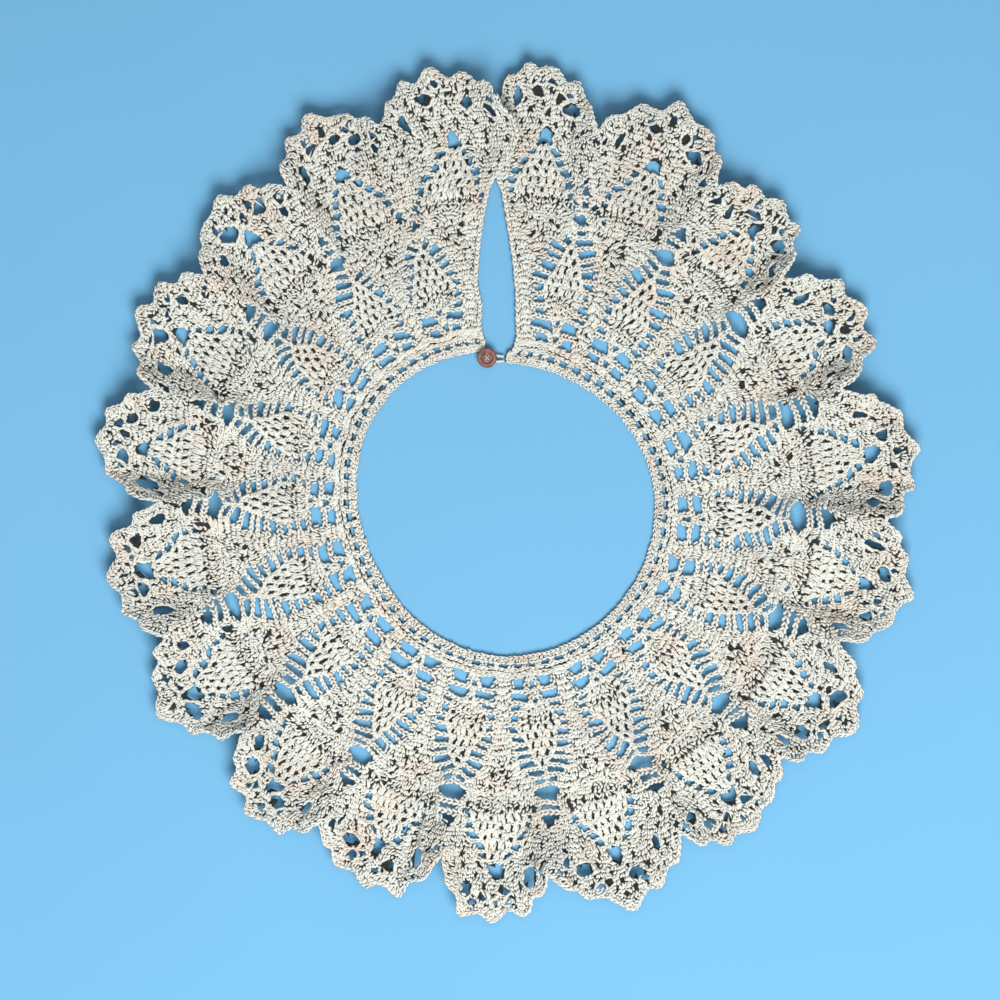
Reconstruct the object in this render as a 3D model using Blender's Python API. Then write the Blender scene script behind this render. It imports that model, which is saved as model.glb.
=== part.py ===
"""Crocheted lace collar, buttoned and laid flat, in metres with +Z up.

The collar is one open ring of cloth round the neck hole. A narrow neck band comes first, then a yoke of
eighteen lace leaves, then nineteen free scallops. The ring is wider at its rim than a flat disc would be,
so folds stand up between the scallops and the tips curl up off the surface that it lies on.

Every piece of cloth is a wall of even height, lifted off the surface by one function of two numbers:
a bearing, clockwise from +Y, and a radius from the neck's centre.
"""
import math

import bmesh
import bpy
import numpy as np

MM = 0.001

# Cloth
CLOTH_WALL = 1.8 * MM
SEAM_GAP = 0.3 * MM
NECK_CENTRE = (0.2 * MM, -5.0 * MM)
NECK_RADIUS = 62.6 * MM
BAND_OUTER = 71.0 * MM
YOKE_OUTER = 122.0 * MM
BAND_SPLIT = 65.8 * MM
YOKE_ROWS = (79.0 * MM, 92.0 * MM, 107.0 * MM)
CELLS_PER_LEAF = 6
SCALLOP_ROWS = 5

# The neck edge isn't a true circle: columns are waves round the circle, cosine part and sine part in mm
NECK_WAVES = (
    (1, -0.6, -1.1),
    (2, 0.2, -2.3),
    (3, -0.9, -0.8),
)
END_SHIFT = 2.6 * MM      # how far the band's two ends part, one outwards and one inwards
END_SPREAD = 25.0         # degrees of bearing over which that dies away
ENDS_MEET = 3.5           # degrees left of straight up where the band's right end stops

# Borders between scallops, clockwise: columns are the bearing at the band, at the yoke's rim and at the
# notch in degrees, then the notch's radius, the fold's lift and the radius where the fold starts, in mm
BORDERS = (
    (15.9, 14.0, 13.5, 160.0, 6.0, 96.0),
    (35.5, 32.6, 33.8, 158.8, 7.0, 92.0),
    (56.0, 51.8, 51.0, 147.8, 8.0, 90.0),
    (76.0, 72.7, 71.5, 147.0, 7.5, 88.0),
    (95.3, 92.7, 93.0, 158.8, 9.5, 71.0),
    (114.6, 113.2, 112.8, 149.5, 7.5, 90.0),
    (133.6, 133.3, 133.2, 156.2, 6.5, 94.0),
    (153.1, 152.5, 152.2, 156.2, 7.0, 92.0),
    (171.9, 172.0, 173.5, 157.0, 7.5, 88.0),
    (190.7, 190.7, 190.5, 147.0, 8.5, 92.0),
    (209.6, 209.9, 210.2, 155.0, 6.0, 94.0),
    (229.7, 229.0, 228.8, 144.5, 7.5, 90.0),
    (250.0, 250.0, 248.8, 153.7, 7.0, 92.0),
    (270.5, 269.7, 270.0, 145.3, 9.0, 84.0),
    (288.0, 287.6, 287.5, 155.4, 9.5, 71.0),
    (305.8, 306.2, 307.2, 157.1, 7.0, 90.0),
    (323.8, 325.3, 324.8, 160.4, 7.5, 92.0),
    (340.5, 341.3, 341.5, 165.9, 8.0, 90.0),
)

# The two edges of the opening: columns are radius in mm, bearing in degrees
RIGHT_EDGE = (
    (62.6, -0.9), (65.8, -0.9), (67.4, 1.2), (69.3, 2.1), (73.0, 3.2), (79.0, 2.7), (92.0, 2.1),
    (116.0, 0.0), (132.0, -1.2), (134.5, -1.9), (150.0, -1.8), (171.4, -1.2),
)
LEFT_EDGE = (
    (62.6, 351.6), (66.3, 352.6), (71.0, 351.8), (75.0, 351.9), (82.0, 353.0), (92.0, 352.4),
    (115.0, 354.8), (132.0, 356.9), (134.5, 357.4), (146.0, 361.0), (154.0, 362.0),
    (161.0, 361.2), (166.0, 359.3), (171.4, 358.7),
)
EDGE_NOTCH = 171.4        # radius in mm where the first and last scallops part
RIGHT_EDGE_LIFT = 0.0     # mm; the first scallop lies flat under the last one
LEFT_EDGE_LIFT = 9.0      # mm; the last scallop's edge stands over the first one
LEFT_EDGE_START = 112.0   # mm

# Scallops, clockwise from the opening: columns are the reach of the shoulder before, the tip and the
# shoulder after, and how far the tip curls up, all in mm
SCALLOPS = (
    (184.8, 184.0, 178.1, 5.0),
    (175.6, 182.3, 177.2, 6.0),
    (168.4, 170.9, 168.0, 6.5),
    (167.2, 170.5, 167.6, 5.5),
    (169.3, 173.5, 170.5, 6.0),
    (169.7, 174.3, 168.8, 5.0),
    (168.8, 174.7, 168.4, 6.0),
    (167.2, 172.2, 169.7, 5.5),
    (172.2, 178.1, 168.8, 7.0),
    (172.2, 175.6, 173.9, 6.5),
    (170.1, 171.0, 167.2, 6.0),
    (168.0, 169.7, 165.1, 6.5),
    (163.4, 171.4, 165.5, 5.5),
    (166.7, 170.1, 166.3, 6.0),
    (168.0, 174.7, 172.6, 5.0),
    (169.3, 174.3, 171.8, 6.0),
    (171.8, 176.8, 171.8, 6.5),
    (177.7, 182.7, 176.4, 6.0),
    (181.4, 184.4, 180.6, 5.5),
)
LEAVES = len(SCALLOPS)
FOLD_REACH = 0.25         # share of a half scallop, from its middle, that stays on the surface
CURL_START = 0.4          # share of the way from the yoke to the rim where a tip starts to curl up
SIDE_CURL = 0.6           # curl at a scallop's sides against its tip
# Stations across a scallop, -1 and 1 at the notches: columns are place, drop below the line in mm
TIP_STATIONS = ((-1.0, 0.0), (-0.8, 0.0), (-0.65, 1.8), (-0.5, 0.0), (-0.25, 2.4), (0.0, 0.0),
                (0.25, 2.4), (0.5, 0.0), (0.65, 1.8), (0.8, 0.0), (1.0, 0.0))
SIDE_POINT = 0.8
SHOULDER = 0.5
SIDE_POINT_SHARE = 0.55   # how far up from notch to shoulder the side point stands

# Fastening
BUTTON_CENTRE = (-8.2 * MM, 55.9 * MM)
BUTTON_RADIUS = 4.2 * MM
BUTTON_BASE = 2.2 * MM
BUTTON_THICK = 2.0 * MM
BUTTON_DISH_RADIUS = 2.7 * MM
BUTTON_DISH_DEPTH = 0.6 * MM
BUTTON_BEVEL = 0.5 * MM
BUTTON_SIDES = 32
HOLE_RADIUS = 0.5 * MM
HOLE_PITCH = 1.9 * MM     # side of the square of four holes
THREAD_RADIUS = 0.2 * MM
LOOP_RADIUS = 0.5 * MM
LOOP_HEIGHT = 1.25 * MM
LOOP_FOOT = 64.2 * MM      # where it leaves the band's right end
LOOP_BEARING = -0.9       # degrees


def smooth(value):
    """A soft step: 0 below 0, 1 above 1, and level at both ends."""
    value = np.clip(value, 0.0, 1.0)
    return value * value * (3.0 - 2.0 * value)


def edge_bearing(table, radius):
    """Bearing of an opening edge at a radius, in degrees."""
    radii = [row[0] * MM for row in table]
    return np.interp(radius, radii, [row[1] for row in table])


def border_bearing(index, radius):
    """Bearing in degrees of border 0 (right edge), 1 to 18 (between scallops) or 19 (left edge)."""
    if index == 0:
        return edge_bearing(RIGHT_EDGE, radius)
    if index == LEAVES:
        return edge_bearing(LEFT_EDGE, radius)
    at_band, at_rim, at_notch, notch = BORDERS[index - 1][:4]
    return np.interp(radius, [BAND_OUTER, YOKE_OUTER, notch * MM], [at_band, at_rim, at_notch])


def border_notch(index):
    """Radius of the notch at a border."""
    if index in (0, LEAVES):
        return EDGE_NOTCH * MM
    return BORDERS[index - 1][3] * MM


def fold_lift(index, radius):
    """Height of the fold along a border at a radius: none at its start, full at the notch."""
    if index == 0:
        lift, start = RIGHT_EDGE_LIFT, LEFT_EDGE_START
    elif index == LEAVES:
        lift, start = LEFT_EDGE_LIFT, LEFT_EDGE_START
    else:
        lift, start = BORDERS[index - 1][4:6]
    start = start * MM
    return lift * MM * smooth((radius - start) / (border_notch(index) - start))


def cloth_height(leaf, place, radius):
    """Height of the cloth's underside. Place runs from -1 to 1 across a leaf and its scallop."""
    before = fold_lift(leaf, radius)
    after = fold_lift(leaf + 1, radius)
    rise = smooth((np.abs(place) - FOLD_REACH) / (1.0 - FOLD_REACH))
    return rise * np.where(place < 0.0, before, after)


def neck_shift(bearing):
    """How far the neck edge stands out from its mean circle at a bearing in radians."""
    wave = sum(c * np.cos(n * bearing) + s * np.sin(n * bearing) for n, c, s in NECK_WAVES) * MM
    turned = (np.degrees(bearing) + ENDS_MEET) % 360.0 - ENDS_MEET
    left = turned > 180.0
    distance = np.where(left, 360.0 - turned, np.abs(turned))
    ends = END_SHIFT * np.exp(-distance / END_SPREAD)
    return wave + np.where(left, ends, -ends)


def point(bearing_deg, radius, height):
    """The place of a bearing and a radius; the neck edge's waves die away towards the yoke's rim."""
    bearing = np.radians(bearing_deg)
    fade = 1.0 - smooth((radius - NECK_RADIUS) / (YOKE_OUTER - NECK_RADIUS))
    shifted = radius + neck_shift(bearing) * fade
    x = NECK_CENTRE[0] + shifted * np.sin(bearing)
    y = NECK_CENTRE[1] + shifted * np.cos(bearing)
    return np.stack(np.broadcast_arrays(x, y, height), axis=-1)


def ring_points(radii):
    """Grid of points across the open ring, one row for each radius."""
    steps = np.arange(LEAVES * CELLS_PER_LEAF + 1)
    leaf = np.minimum(steps // CELLS_PER_LEAF, LEAVES - 1)
    share = steps / CELLS_PER_LEAF - leaf
    rows = []
    for radius in radii:
        borders = np.array([border_bearing(k, radius) for k in range(LEAVES + 1)])
        bearing = borders[leaf] + share * (borders[leaf + 1] - borders[leaf])
        height = np.array([cloth_height(i, 2.0 * s - 1.0, radius) for i, s in zip(leaf, share)])
        rows.append(point(bearing, radius, height))
    return np.array(rows)


def scallop_reach(leaf, place, drop):
    """Radius of the scallop's rim at a place across it: five points with dips between them."""
    before, tip, after = (value * MM for value in SCALLOPS[leaf][:3])
    notch_before = border_notch(leaf)
    notch_after = border_notch(leaf + 1)
    side_before = notch_before + SIDE_POINT_SHARE * (before - notch_before)
    side_after = notch_after + SIDE_POINT_SHARE * (after - notch_after)
    stations = (-1.0, -SIDE_POINT, -SHOULDER, 0.0, SHOULDER, SIDE_POINT, 1.0)
    reaches = (notch_before, side_before, before, tip, after, side_after, notch_after)
    return np.interp(place, stations, reaches) - drop * MM


def scallop_points(leaf):
    """Grid of points of one scallop, from the yoke's rim out to its pointed edge."""
    curl = SCALLOPS[leaf][3] * MM
    shares = np.linspace(0.0, 1.0, SCALLOP_ROWS + 1)
    columns = []
    for place, drop in TIP_STATIONS:
        reach = scallop_reach(leaf, place, drop)
        start = YOKE_OUTER + SEAM_GAP
        radius = start + shares * (reach - start)
        low = border_bearing(leaf, radius)
        high = border_bearing(leaf + 1, radius)
        half_gap = np.degrees(SEAM_GAP / 2.0 / radius)
        bearing = low + (place + 1.0) / 2.0 * (high - low) - place * half_gap
        side = 1.0 - (1.0 - SIDE_CURL) * place * place
        lifted = cloth_height(leaf, np.full_like(radius, place), radius)
        lifted = lifted + curl * side * smooth((shares - CURL_START) / (1.0 - CURL_START))
        columns.append(point(bearing, radius, lifted))
    return np.array(columns).transpose(1, 0, 2)


def material(name, colour, roughness, metallic=0.0):
    """A plain material with the piece's colour, roughness and metallic value."""
    made = bpy.data.materials.new(name)
    made.use_nodes = True
    shader = made.node_tree.nodes["Principled BSDF"]
    shader.inputs["Base Color"].default_value = (*colour, 1.0)
    shader.inputs["Roughness"].default_value = roughness
    shader.inputs["Metallic"].default_value = metallic
    return made


def add_object(name, mesh, finish):
    """Puts a mesh into the scene as a named object."""
    made = bpy.data.objects.new(name, mesh)
    made.data.materials.append(finish)
    bpy.context.scene.collection.objects.link(made)
    return made


def cloth_wall(name, grid, finish):
    """A closed wall: the grid is its underside, and its top is the same sheet extruded straight up."""
    rows, columns = grid.shape[:2]
    sheet = bmesh.new()
    verts = [[sheet.verts.new(grid[i, j]) for j in range(columns)] for i in range(rows)]
    for i in range(rows - 1):
        for j in range(columns - 1):
            sheet.faces.new((verts[i][j], verts[i][j + 1], verts[i + 1][j + 1], verts[i + 1][j]))
    grown = bmesh.ops.extrude_face_region(sheet, geom=sheet.faces[:], use_keep_orig=True)
    lifted = [item for item in grown["geom"] if isinstance(item, bmesh.types.BMVert)]
    bmesh.ops.translate(sheet, verts=lifted, vec=(0.0, 0.0, CLOTH_WALL))
    bmesh.ops.recalc_face_normals(sheet, faces=sheet.faces[:])
    mesh = bpy.data.meshes.new(name)
    sheet.to_mesh(mesh)
    sheet.free()
    made = add_object(name, mesh, finish)
    mesh.shade_smooth()
    mesh.set_sharp_from_angle(angle=math.radians(40.0))
    return made


def tube(name, route, radius, resolution, finish):
    """A round cord along a route of points, with closed ends."""
    curve = bpy.data.curves.new(name, "CURVE")
    curve.dimensions = "3D"
    curve.bevel_depth = radius
    curve.bevel_resolution = resolution
    curve.use_fill_caps = True
    spline = curve.splines.new("POLY")
    spline.points.add(len(route) - 1)
    for place, target in zip(spline.points, route):
        place.co = (*target, 1.0)
    return add_object(name, curve, finish)


def rounded_route(corners, turn, steps):
    """A route through corner points, each inner corner turned on a small even curve."""
    corners = [np.array(corner) for corner in corners]
    route = [corners[0]]
    for before, here, after in zip(corners, corners[1:], corners[2:]):
        into = here - before
        out = after - here
        cut = min(turn, np.linalg.norm(into) / 2.2, np.linalg.norm(out) / 2.2)
        first = here - into / np.linalg.norm(into) * cut
        last = here + out / np.linalg.norm(out) * cut
        for share in np.linspace(0.0, 1.0, steps):
            route.append((1 - share) ** 2 * first + 2 * share * (1 - share) * here + share ** 2 * last)
    route.append(corners[-1])
    return route


def make_button(finish):
    """A round dished button with four holes in a square."""
    profile = (
        (0.0, BUTTON_THICK - BUTTON_DISH_DEPTH),
        (BUTTON_DISH_RADIUS - BUTTON_DISH_DEPTH, BUTTON_THICK - BUTTON_DISH_DEPTH),
        (BUTTON_DISH_RADIUS, BUTTON_THICK),
        (BUTTON_RADIUS - BUTTON_BEVEL, BUTTON_THICK),
        (BUTTON_RADIUS, BUTTON_THICK - BUTTON_BEVEL),
        (BUTTON_RADIUS, BUTTON_BEVEL),
        (BUTTON_RADIUS - BUTTON_BEVEL, 0.0),
        (0.0, 0.0),
    )
    body = bmesh.new()
    verts = [body.verts.new((across, 0.0, up)) for across, up in profile]
    edges = [body.edges.new(pair) for pair in zip(verts, verts[1:])]
    bmesh.ops.spin(body, geom=verts + edges, cent=(0, 0, 0), axis=(0, 0, 1),
                   angle=2.0 * math.pi, steps=BUTTON_SIDES)
    bmesh.ops.remove_doubles(body, verts=body.verts[:], dist=0.00001)
    bmesh.ops.recalc_face_normals(body, faces=body.faces[:])
    mesh = bpy.data.meshes.new("button")
    body.to_mesh(mesh)
    body.free()
    made = add_object("button", mesh, finish)
    made.location = (*BUTTON_CENTRE, BUTTON_BASE)
    for number, (across, along) in enumerate(((-1, -1), (1, -1), (1, 1), (-1, 1))):
        cutter = bmesh.new()
        bmesh.ops.create_cone(cutter, cap_ends=True, segments=12, radius1=HOLE_RADIUS,
                              radius2=HOLE_RADIUS, depth=BUTTON_THICK * 2.0)
        drill_mesh = bpy.data.meshes.new("hole_cutter")
        cutter.to_mesh(drill_mesh)
        cutter.free()
        drill = bpy.data.objects.new(f"hole_cutter_{number}", drill_mesh)
        bpy.context.scene.collection.objects.link(drill)
        drill.location = (BUTTON_CENTRE[0] + across * HOLE_PITCH / 2.0,
                          BUTTON_CENTRE[1] + along * HOLE_PITCH / 2.0,
                          BUTTON_BASE + BUTTON_THICK / 2.0)
        drill.hide_render = True
        drill.display_type = "WIRE"
        cut = made.modifiers.new(f"hole_{number}", "BOOLEAN")
        cut.operation = "DIFFERENCE"
        cut.object = drill
    return made


def make_button_thread(finish):
    """The sewing thread: up and down through the four holes, crossing on top, then off to the band."""
    centre_x, centre_y = BUTTON_CENTRE
    half = HOLE_PITCH / 2.0
    under = BUTTON_BASE - 0.35 * MM
    first_pass = BUTTON_BASE + BUTTON_THICK - BUTTON_DISH_DEPTH + 0.35 * MM
    second_pass = first_pass + 0.6 * MM
    low = THREAD_RADIUS + 0.1 * MM
    band_end = point(352.0, NECK_RADIUS, 0.0)
    corners = (
        (centre_x - half, centre_y - half, under),
        (centre_x - half, centre_y - half, first_pass),
        (centre_x + half, centre_y + half, first_pass),
        (centre_x + half, centre_y + half, under),
        (centre_x + half, centre_y - half, under),
        (centre_x + half, centre_y - half, second_pass),
        (centre_x - half, centre_y + half, second_pass),
        (centre_x - half, centre_y + half, low),
        (centre_x - half, band_end[1] - SEAM_GAP, low),
    )
    return tube("button_thread", rounded_route(corners, 0.5 * MM, 4), THREAD_RADIUS, 1, finish)


def make_button_loop(finish):
    """The loop: out of the band's right end, round behind the button and back."""
    centre_x, centre_y = BUTTON_CENTRE
    band_end = point(LOOP_BEARING, LOOP_FOOT, 0.0)
    meet_x = band_end[0] - SEAM_GAP * 2.0
    turn = 2.1 * MM
    spread = 0.9 * MM
    arc = [(centre_x + turn * math.sin(a), centre_y + turn * math.cos(a), LOOP_HEIGHT)
           for a in np.linspace(math.radians(40.0), math.radians(-220.0), 14)]
    route = ([(meet_x, band_end[1] + spread, LOOP_HEIGHT)] + arc
             + [(meet_x, band_end[1] - spread, LOOP_HEIGHT)])
    return tube("button_loop", route, LOOP_RADIUS, 1, finish)


def main():
    for old in list(bpy.data.objects):
        bpy.data.objects.remove(old)
    yarn = material("cotton_yarn", (0.78, 0.73, 0.66), 0.92)
    horn = material("button_plastic", (0.30, 0.13, 0.10), 0.25)
    thread = material("sewing_thread", (0.80, 0.76, 0.70), 0.8)

    cloth_wall("neck_band", ring_points((NECK_RADIUS, BAND_SPLIT, BAND_OUTER)), yarn)
    cloth_wall("lace_yoke", ring_points((BAND_OUTER + SEAM_GAP, *YOKE_ROWS, YOKE_OUTER)), yarn)
    for leaf in range(LEAVES):
        cloth_wall(f"scallop_{leaf + 1:02d}", scallop_points(leaf), yarn)
    make_button(horn)
    make_button_thread(thread)
    make_button_loop(yarn)


main()
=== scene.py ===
"""Crocheted lace collar, laid flat: its yarn, button and stage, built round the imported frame.

Every stitch is charted in millimetres and then laid on one surface, which the tables below share with the
frame's own cloth. A place on the cloth is a border number and a radius: borders 0 and 19 are the two edges
of the opening, and borders 1 to 18 run between the scallops, clockwise. A leaf of the yoke lies on each
inner border, and a column of shells lies half way between two borders. An axis gives the place of a
stitch's middle line at any radius, and a path is offsets, as arcs beside the axis, with their radii.
"""

import math
from functools import partial

import bpy
import numpy as np
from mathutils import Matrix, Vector


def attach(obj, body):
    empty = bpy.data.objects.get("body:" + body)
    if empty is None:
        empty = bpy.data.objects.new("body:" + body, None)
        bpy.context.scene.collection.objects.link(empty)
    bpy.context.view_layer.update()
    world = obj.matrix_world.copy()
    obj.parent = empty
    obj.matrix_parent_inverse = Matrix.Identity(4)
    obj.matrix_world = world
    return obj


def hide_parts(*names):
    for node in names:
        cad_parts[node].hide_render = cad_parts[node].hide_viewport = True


bl_info = {
    "name": "Lace collar",
    "version": (1, 0, 0),
    "blender": (4, 5, 0),
    "location": "View3D > Sidebar > Collar",
    "description": "Builds a crocheted lace collar stitch by stitch round its packed frame",
    "category": "Add Mesh",
}

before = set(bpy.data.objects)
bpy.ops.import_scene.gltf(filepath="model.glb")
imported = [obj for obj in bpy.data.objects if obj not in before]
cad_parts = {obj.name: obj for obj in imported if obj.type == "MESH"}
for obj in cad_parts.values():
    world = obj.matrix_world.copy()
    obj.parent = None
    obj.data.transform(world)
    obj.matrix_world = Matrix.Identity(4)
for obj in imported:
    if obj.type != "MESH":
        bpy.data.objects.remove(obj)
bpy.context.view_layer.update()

MM = 0.001
TURN = 2.0 * np.pi
LEAVES = 19
SEED = 41

# --- The cloth's form, in millimetres and degrees ----------------------------------------------------------

NECK_CENTRE = (0.2, -5.0)
NECK_RADIUS = 62.6
BAND_OUTER = 71.0
YOKE_OUTER = 122.0
# Waves of the neck edge: number round it, cosine part, sine part
NECK_WAVES = ((1, -0.6, -1.1), (2, 0.2, -2.3), (3, -0.9, -0.8))
# The band's ends lie this far out and in, fading over these degrees, and part at this bearing before 0
END_SHIFT = 2.6
END_SPREAD = 25.0
ENDS_MEET = 3.5

# Borders 1 to 18: bearing at the band, at the yoke's rim and at the notch, then the notch's radius, the
# fold's lift and the radius where the fold starts
BORDERS = (
    (15.9, 14.0, 13.5, 160.0, 6.0, 96.0),
    (35.5, 32.6, 33.8, 158.8, 7.0, 92.0),
    (56.0, 51.8, 51.0, 147.8, 8.0, 90.0),
    (76.0, 72.7, 71.5, 147.0, 7.5, 88.0),
    (95.3, 92.7, 93.0, 158.8, 9.5, 71.0),
    (114.6, 113.2, 112.8, 149.5, 7.5, 90.0),
    (133.6, 133.3, 133.2, 156.2, 6.5, 94.0),
    (153.1, 152.5, 152.2, 156.2, 7.0, 92.0),
    (171.9, 172.0, 173.5, 157.0, 7.5, 88.0),
    (190.7, 190.7, 190.5, 147.0, 8.5, 92.0),
    (209.6, 209.9, 210.2, 155.0, 6.0, 94.0),
    (229.7, 229.0, 228.8, 144.5, 7.5, 90.0),
    (250.0, 250.0, 248.8, 153.7, 7.0, 92.0),
    (270.5, 269.7, 270.0, 145.3, 9.0, 84.0),
    (288.0, 287.6, 287.5, 155.4, 9.5, 71.0),
    (305.8, 306.2, 307.2, 157.1, 7.0, 90.0),
    (323.8, 325.3, 324.8, 160.4, 7.5, 92.0),
    (340.5, 341.3, 341.5, 165.9, 8.0, 90.0),
)
# Edges of the opening: radius, bearing
RIGHT_EDGE = (
    (62.6, -0.9), (65.8, -0.9), (67.4, 1.2), (69.3, 2.1), (73.0, 3.2), (79.0, 2.7), (92.0, 2.1),
    (116.0, 0.0), (132.0, -1.2), (134.5, -1.9), (150.0, -1.8), (171.4, -1.2),
)
LEFT_EDGE = (
    (62.6, 351.6), (66.3, 352.6), (71.0, 351.8), (75.0, 351.9), (82.0, 353.0), (92.0, 352.4),
    (115.0, 354.8), (132.0, 356.9), (134.5, 357.4), (146.0, 361.0), (154.0, 362.0),
    (161.0, 361.2), (166.0, 359.3), (171.4, 358.7),
)
EDGE_NOTCH = 171.4
LEFT_EDGE_LIFT = 9.0
EDGE_FOLD_START = 112.0
# Scallops: reach of the shoulder before, the tip and the shoulder after, then the tip's curl
SCALLOPS = (
    (184.8, 184.0, 178.1, 5.0), (175.6, 182.3, 177.2, 6.0), (168.4, 170.9, 168.0, 6.5),
    (167.2, 170.5, 167.6, 5.5), (169.3, 173.5, 170.5, 6.0), (169.7, 174.3, 168.8, 5.0),
    (168.8, 174.7, 168.4, 6.0), (167.2, 172.2, 169.7, 5.5), (172.2, 178.1, 168.8, 7.0),
    (172.2, 175.6, 173.9, 6.5), (170.1, 171.0, 167.2, 6.0), (168.0, 169.7, 165.1, 6.5),
    (163.4, 171.4, 165.5, 5.5), (166.7, 170.1, 166.3, 6.0), (168.0, 174.7, 172.6, 5.0),
    (169.3, 174.3, 171.8, 6.0), (171.8, 176.8, 171.8, 6.5), (177.7, 182.7, 176.4, 6.0),
    (181.4, 184.4, 180.6, 5.5),
)
# Across a scallop from -1 to 1: where the fold starts, and the stations of the rim
FOLD_REACH = 0.4
SIDE_POINT = 0.8
SHOULDER = 0.5
RIM_STATIONS = np.array((-1.0, -SIDE_POINT, -SHOULDER, 0.0, SHOULDER, SIDE_POINT, 1.0))
# The side point's reach as a share of the shoulder's, and the curl: where it starts, and its share there
SIDE_POINT_SHARE = 0.55
CURL_START = 0.4
SIDE_CURL = 0.6
# Dips between the rim's points: place across the scallop, depth
DIPS = np.array(((-1.0, 0.0), (-0.8, 0.0), (-0.65, 2.3), (-0.5, 0.0), (-0.25, 2.9), (0.0, 0.0),
                 (0.25, 2.9), (0.5, 0.0), (0.65, 2.3), (0.8, 0.0), (1.0, 0.0)))
RADII = np.arange(60.0, 196.0, 0.5)
# Unevenness of handwork, by groups of waves: seed, number, shortest, longest, amounts along x, y and z
HAND_WAVES = ((3, 6, 10.0, 18.0, (0.4, 0.4, 0.5)), (4, 5, 4.5, 7.0, (0.12, 0.12, 0.12)))
# It fades in from this radius over this width, and this far from the opening, and lifts from this floor
CALM_BAND = 64.0
CALM_WIDTH = 12.0
EDGE_CALM = 0.35
WAVE_FLOOR = 0.35

# --- The lace chart, in millimetres ------------------------------------------------------------------------

# Row lines: the shells of a column, and those beside a scallop's leaf, stand on them
YOKE_LINES = (71.0, 77.4, 83.5, 87.5, 91.8, 96.2, 100.5, 104.8, 109.1)
SCALLOP_LINES = (121.6, 125.8, 130.0, 134.2, 138.4, 142.6, 146.8, 151.0, 155.2, 159.4, 163.6, 167.8, 172.0,
                 176.2, 180.4)
SCALLOP_FOOT = 121.6
# Opposite the opening the band's upper rows lie closer to the neck by this much
BAND_DRAW = 1.1
# The band's cords: radius, pitch, width, level, thickness, share of the draw
EDGE_CORD = (63.3, 1.9, 1.9, 0.95, 0.85, 0.0)
BAND_CORDS = ((69.4, 2.1, 2.1, 1.0, 1.0, 1.0), (71.3, 2.1, 2.1, 1.0, 1.0, 1.0),
              (72.4, 2.3, 1.9, 1.1, 1.0, 1.0))
# Its short stitches: foot, top, pitch, stitches in a fan, half width at foot and at top, share of the draw
BAND_FANS = ((63.6, 65.4, 1.8, 1, 0.0, 0.0, 0.0), (65.1, 68.9, 5.7, 2, 0.4, 0.5, 1.0))
# The share of a full turn that the opening leaves to the band
RING_SHARE = 0.975
# Half width of a column and of a leaf: radius, half width
COLUMN_HALF = np.array(((71.0, 3.7), (76.0, 3.8), (82.0, 3.8), (86.0, 3.3), (92.0, 3.5), (96.0, 3.6),
                        (100.0, 4.3), (104.0, 5.6), (109.0, 7.6), (113.0, 10.0), (117.6, 13.5),
                        (121.6, 15.0)))
LEAF_HALF = np.array(((82.9, 2.4), (85.0, 6.0), (88.0, 7.6), (92.0, 8.4), (95.5, 8.3), (99.5, 6.7),
                      (104.0, 5.0), (108.5, 3.0), (112.0, 1.4), (115.0, 0.8)))
# Shells where a column widens: middle, foot radius, top radius, half width at foot and at top, stitches
ROOT_SHELLS = (
    (-4.1, 108.6, 113.6, 1.9, 4.0, 5), (4.1, 108.6, 113.6, 1.9, 4.0, 5),
    (-7.6, 112.6, 118.0, 1.68, 4.2, 6), (0.0, 112.6, 118.0, 0.76, 1.9, 3), (7.6, 112.6, 118.0, 1.68, 4.2, 6),
    (-11.6, 117.0, 122.1, 1.76, 4.4, 6), (-4.2, 117.0, 122.1, 1.04, 2.6, 4),
    (0.0, 117.0, 122.1, 0.24, 0.6, 2), (4.2, 117.0, 122.1, 1.04, 2.6, 4),
    (11.6, 117.0, 122.1, 1.76, 4.4, 6),
)
# A leaf's forked stems: foot, top, half width of the fork
STEMS = ((70.8, 77.6, 2.5), (77.2, 83.6, 2.2))
# Fans at the foot of a leaf: foot radius, top radius, half width at foot and at top
LEAF_FAN = (82.8, 92.8, 1.6, 8.1)
SCALLOP_FAN = (121.2, 131.6, 1.8, 10.6)
# Nets at the end of a leaf: foot radius, top radius, loops, half width
LEAF_NET = ((93.0, 96.8, 5, 8.4), (96.3, 100.7, 4, 6.9), (100.4, 104.8, 3, 5.4), (104.5, 108.8, 2, 3.7),
            (108.4, 112.4, 1, 2.0))
SCALLOP_NET = ((131.0, 135.0, 7, 11.0), (134.7, 139.0, 6, 9.9), (138.7, 143.0, 4, 7.4),
               (142.7, 147.0, 3, 5.2), (146.7, 151.0, 2, 3.0))
# One loop of a net: control points as shares of its width and rise
NET_LOOP = ((-0.44, 0.0), (-0.47, 0.8), (0.0, 1.5), (0.47, 0.8), (0.44, 0.0))
# Bars beside a leaf: radius at the column, start beside the leaf's middle or None for its side, rise there
LADDER_BARS = ((77.5, 2.0, 0.2), (83.6, 1.9, 0.1), (87.5, None, 0.1), (91.9, None, -0.2), (96.4, None, -0.7),
               (101.0, None, -1.5), (105.7, None, -2.4))
# Bars beyond its tip: radius at the column, radius at the stem, offset at the stem
TIP_BARS = ((109.9, 106.7, 2.6), (113.9, 110.5, 1.2), (117.8, 114.2, 0.3), (121.9, 118.2, 0.2))
TIP_STEM = ((0.0, 110.6), (0.2, 114.4), (0.0, 118.4))
# Bars across the gap between two scallops: radius, rise of the middle
GAP_BARS = ((126.2, 0.6), (130.8, 0.4))
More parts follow.
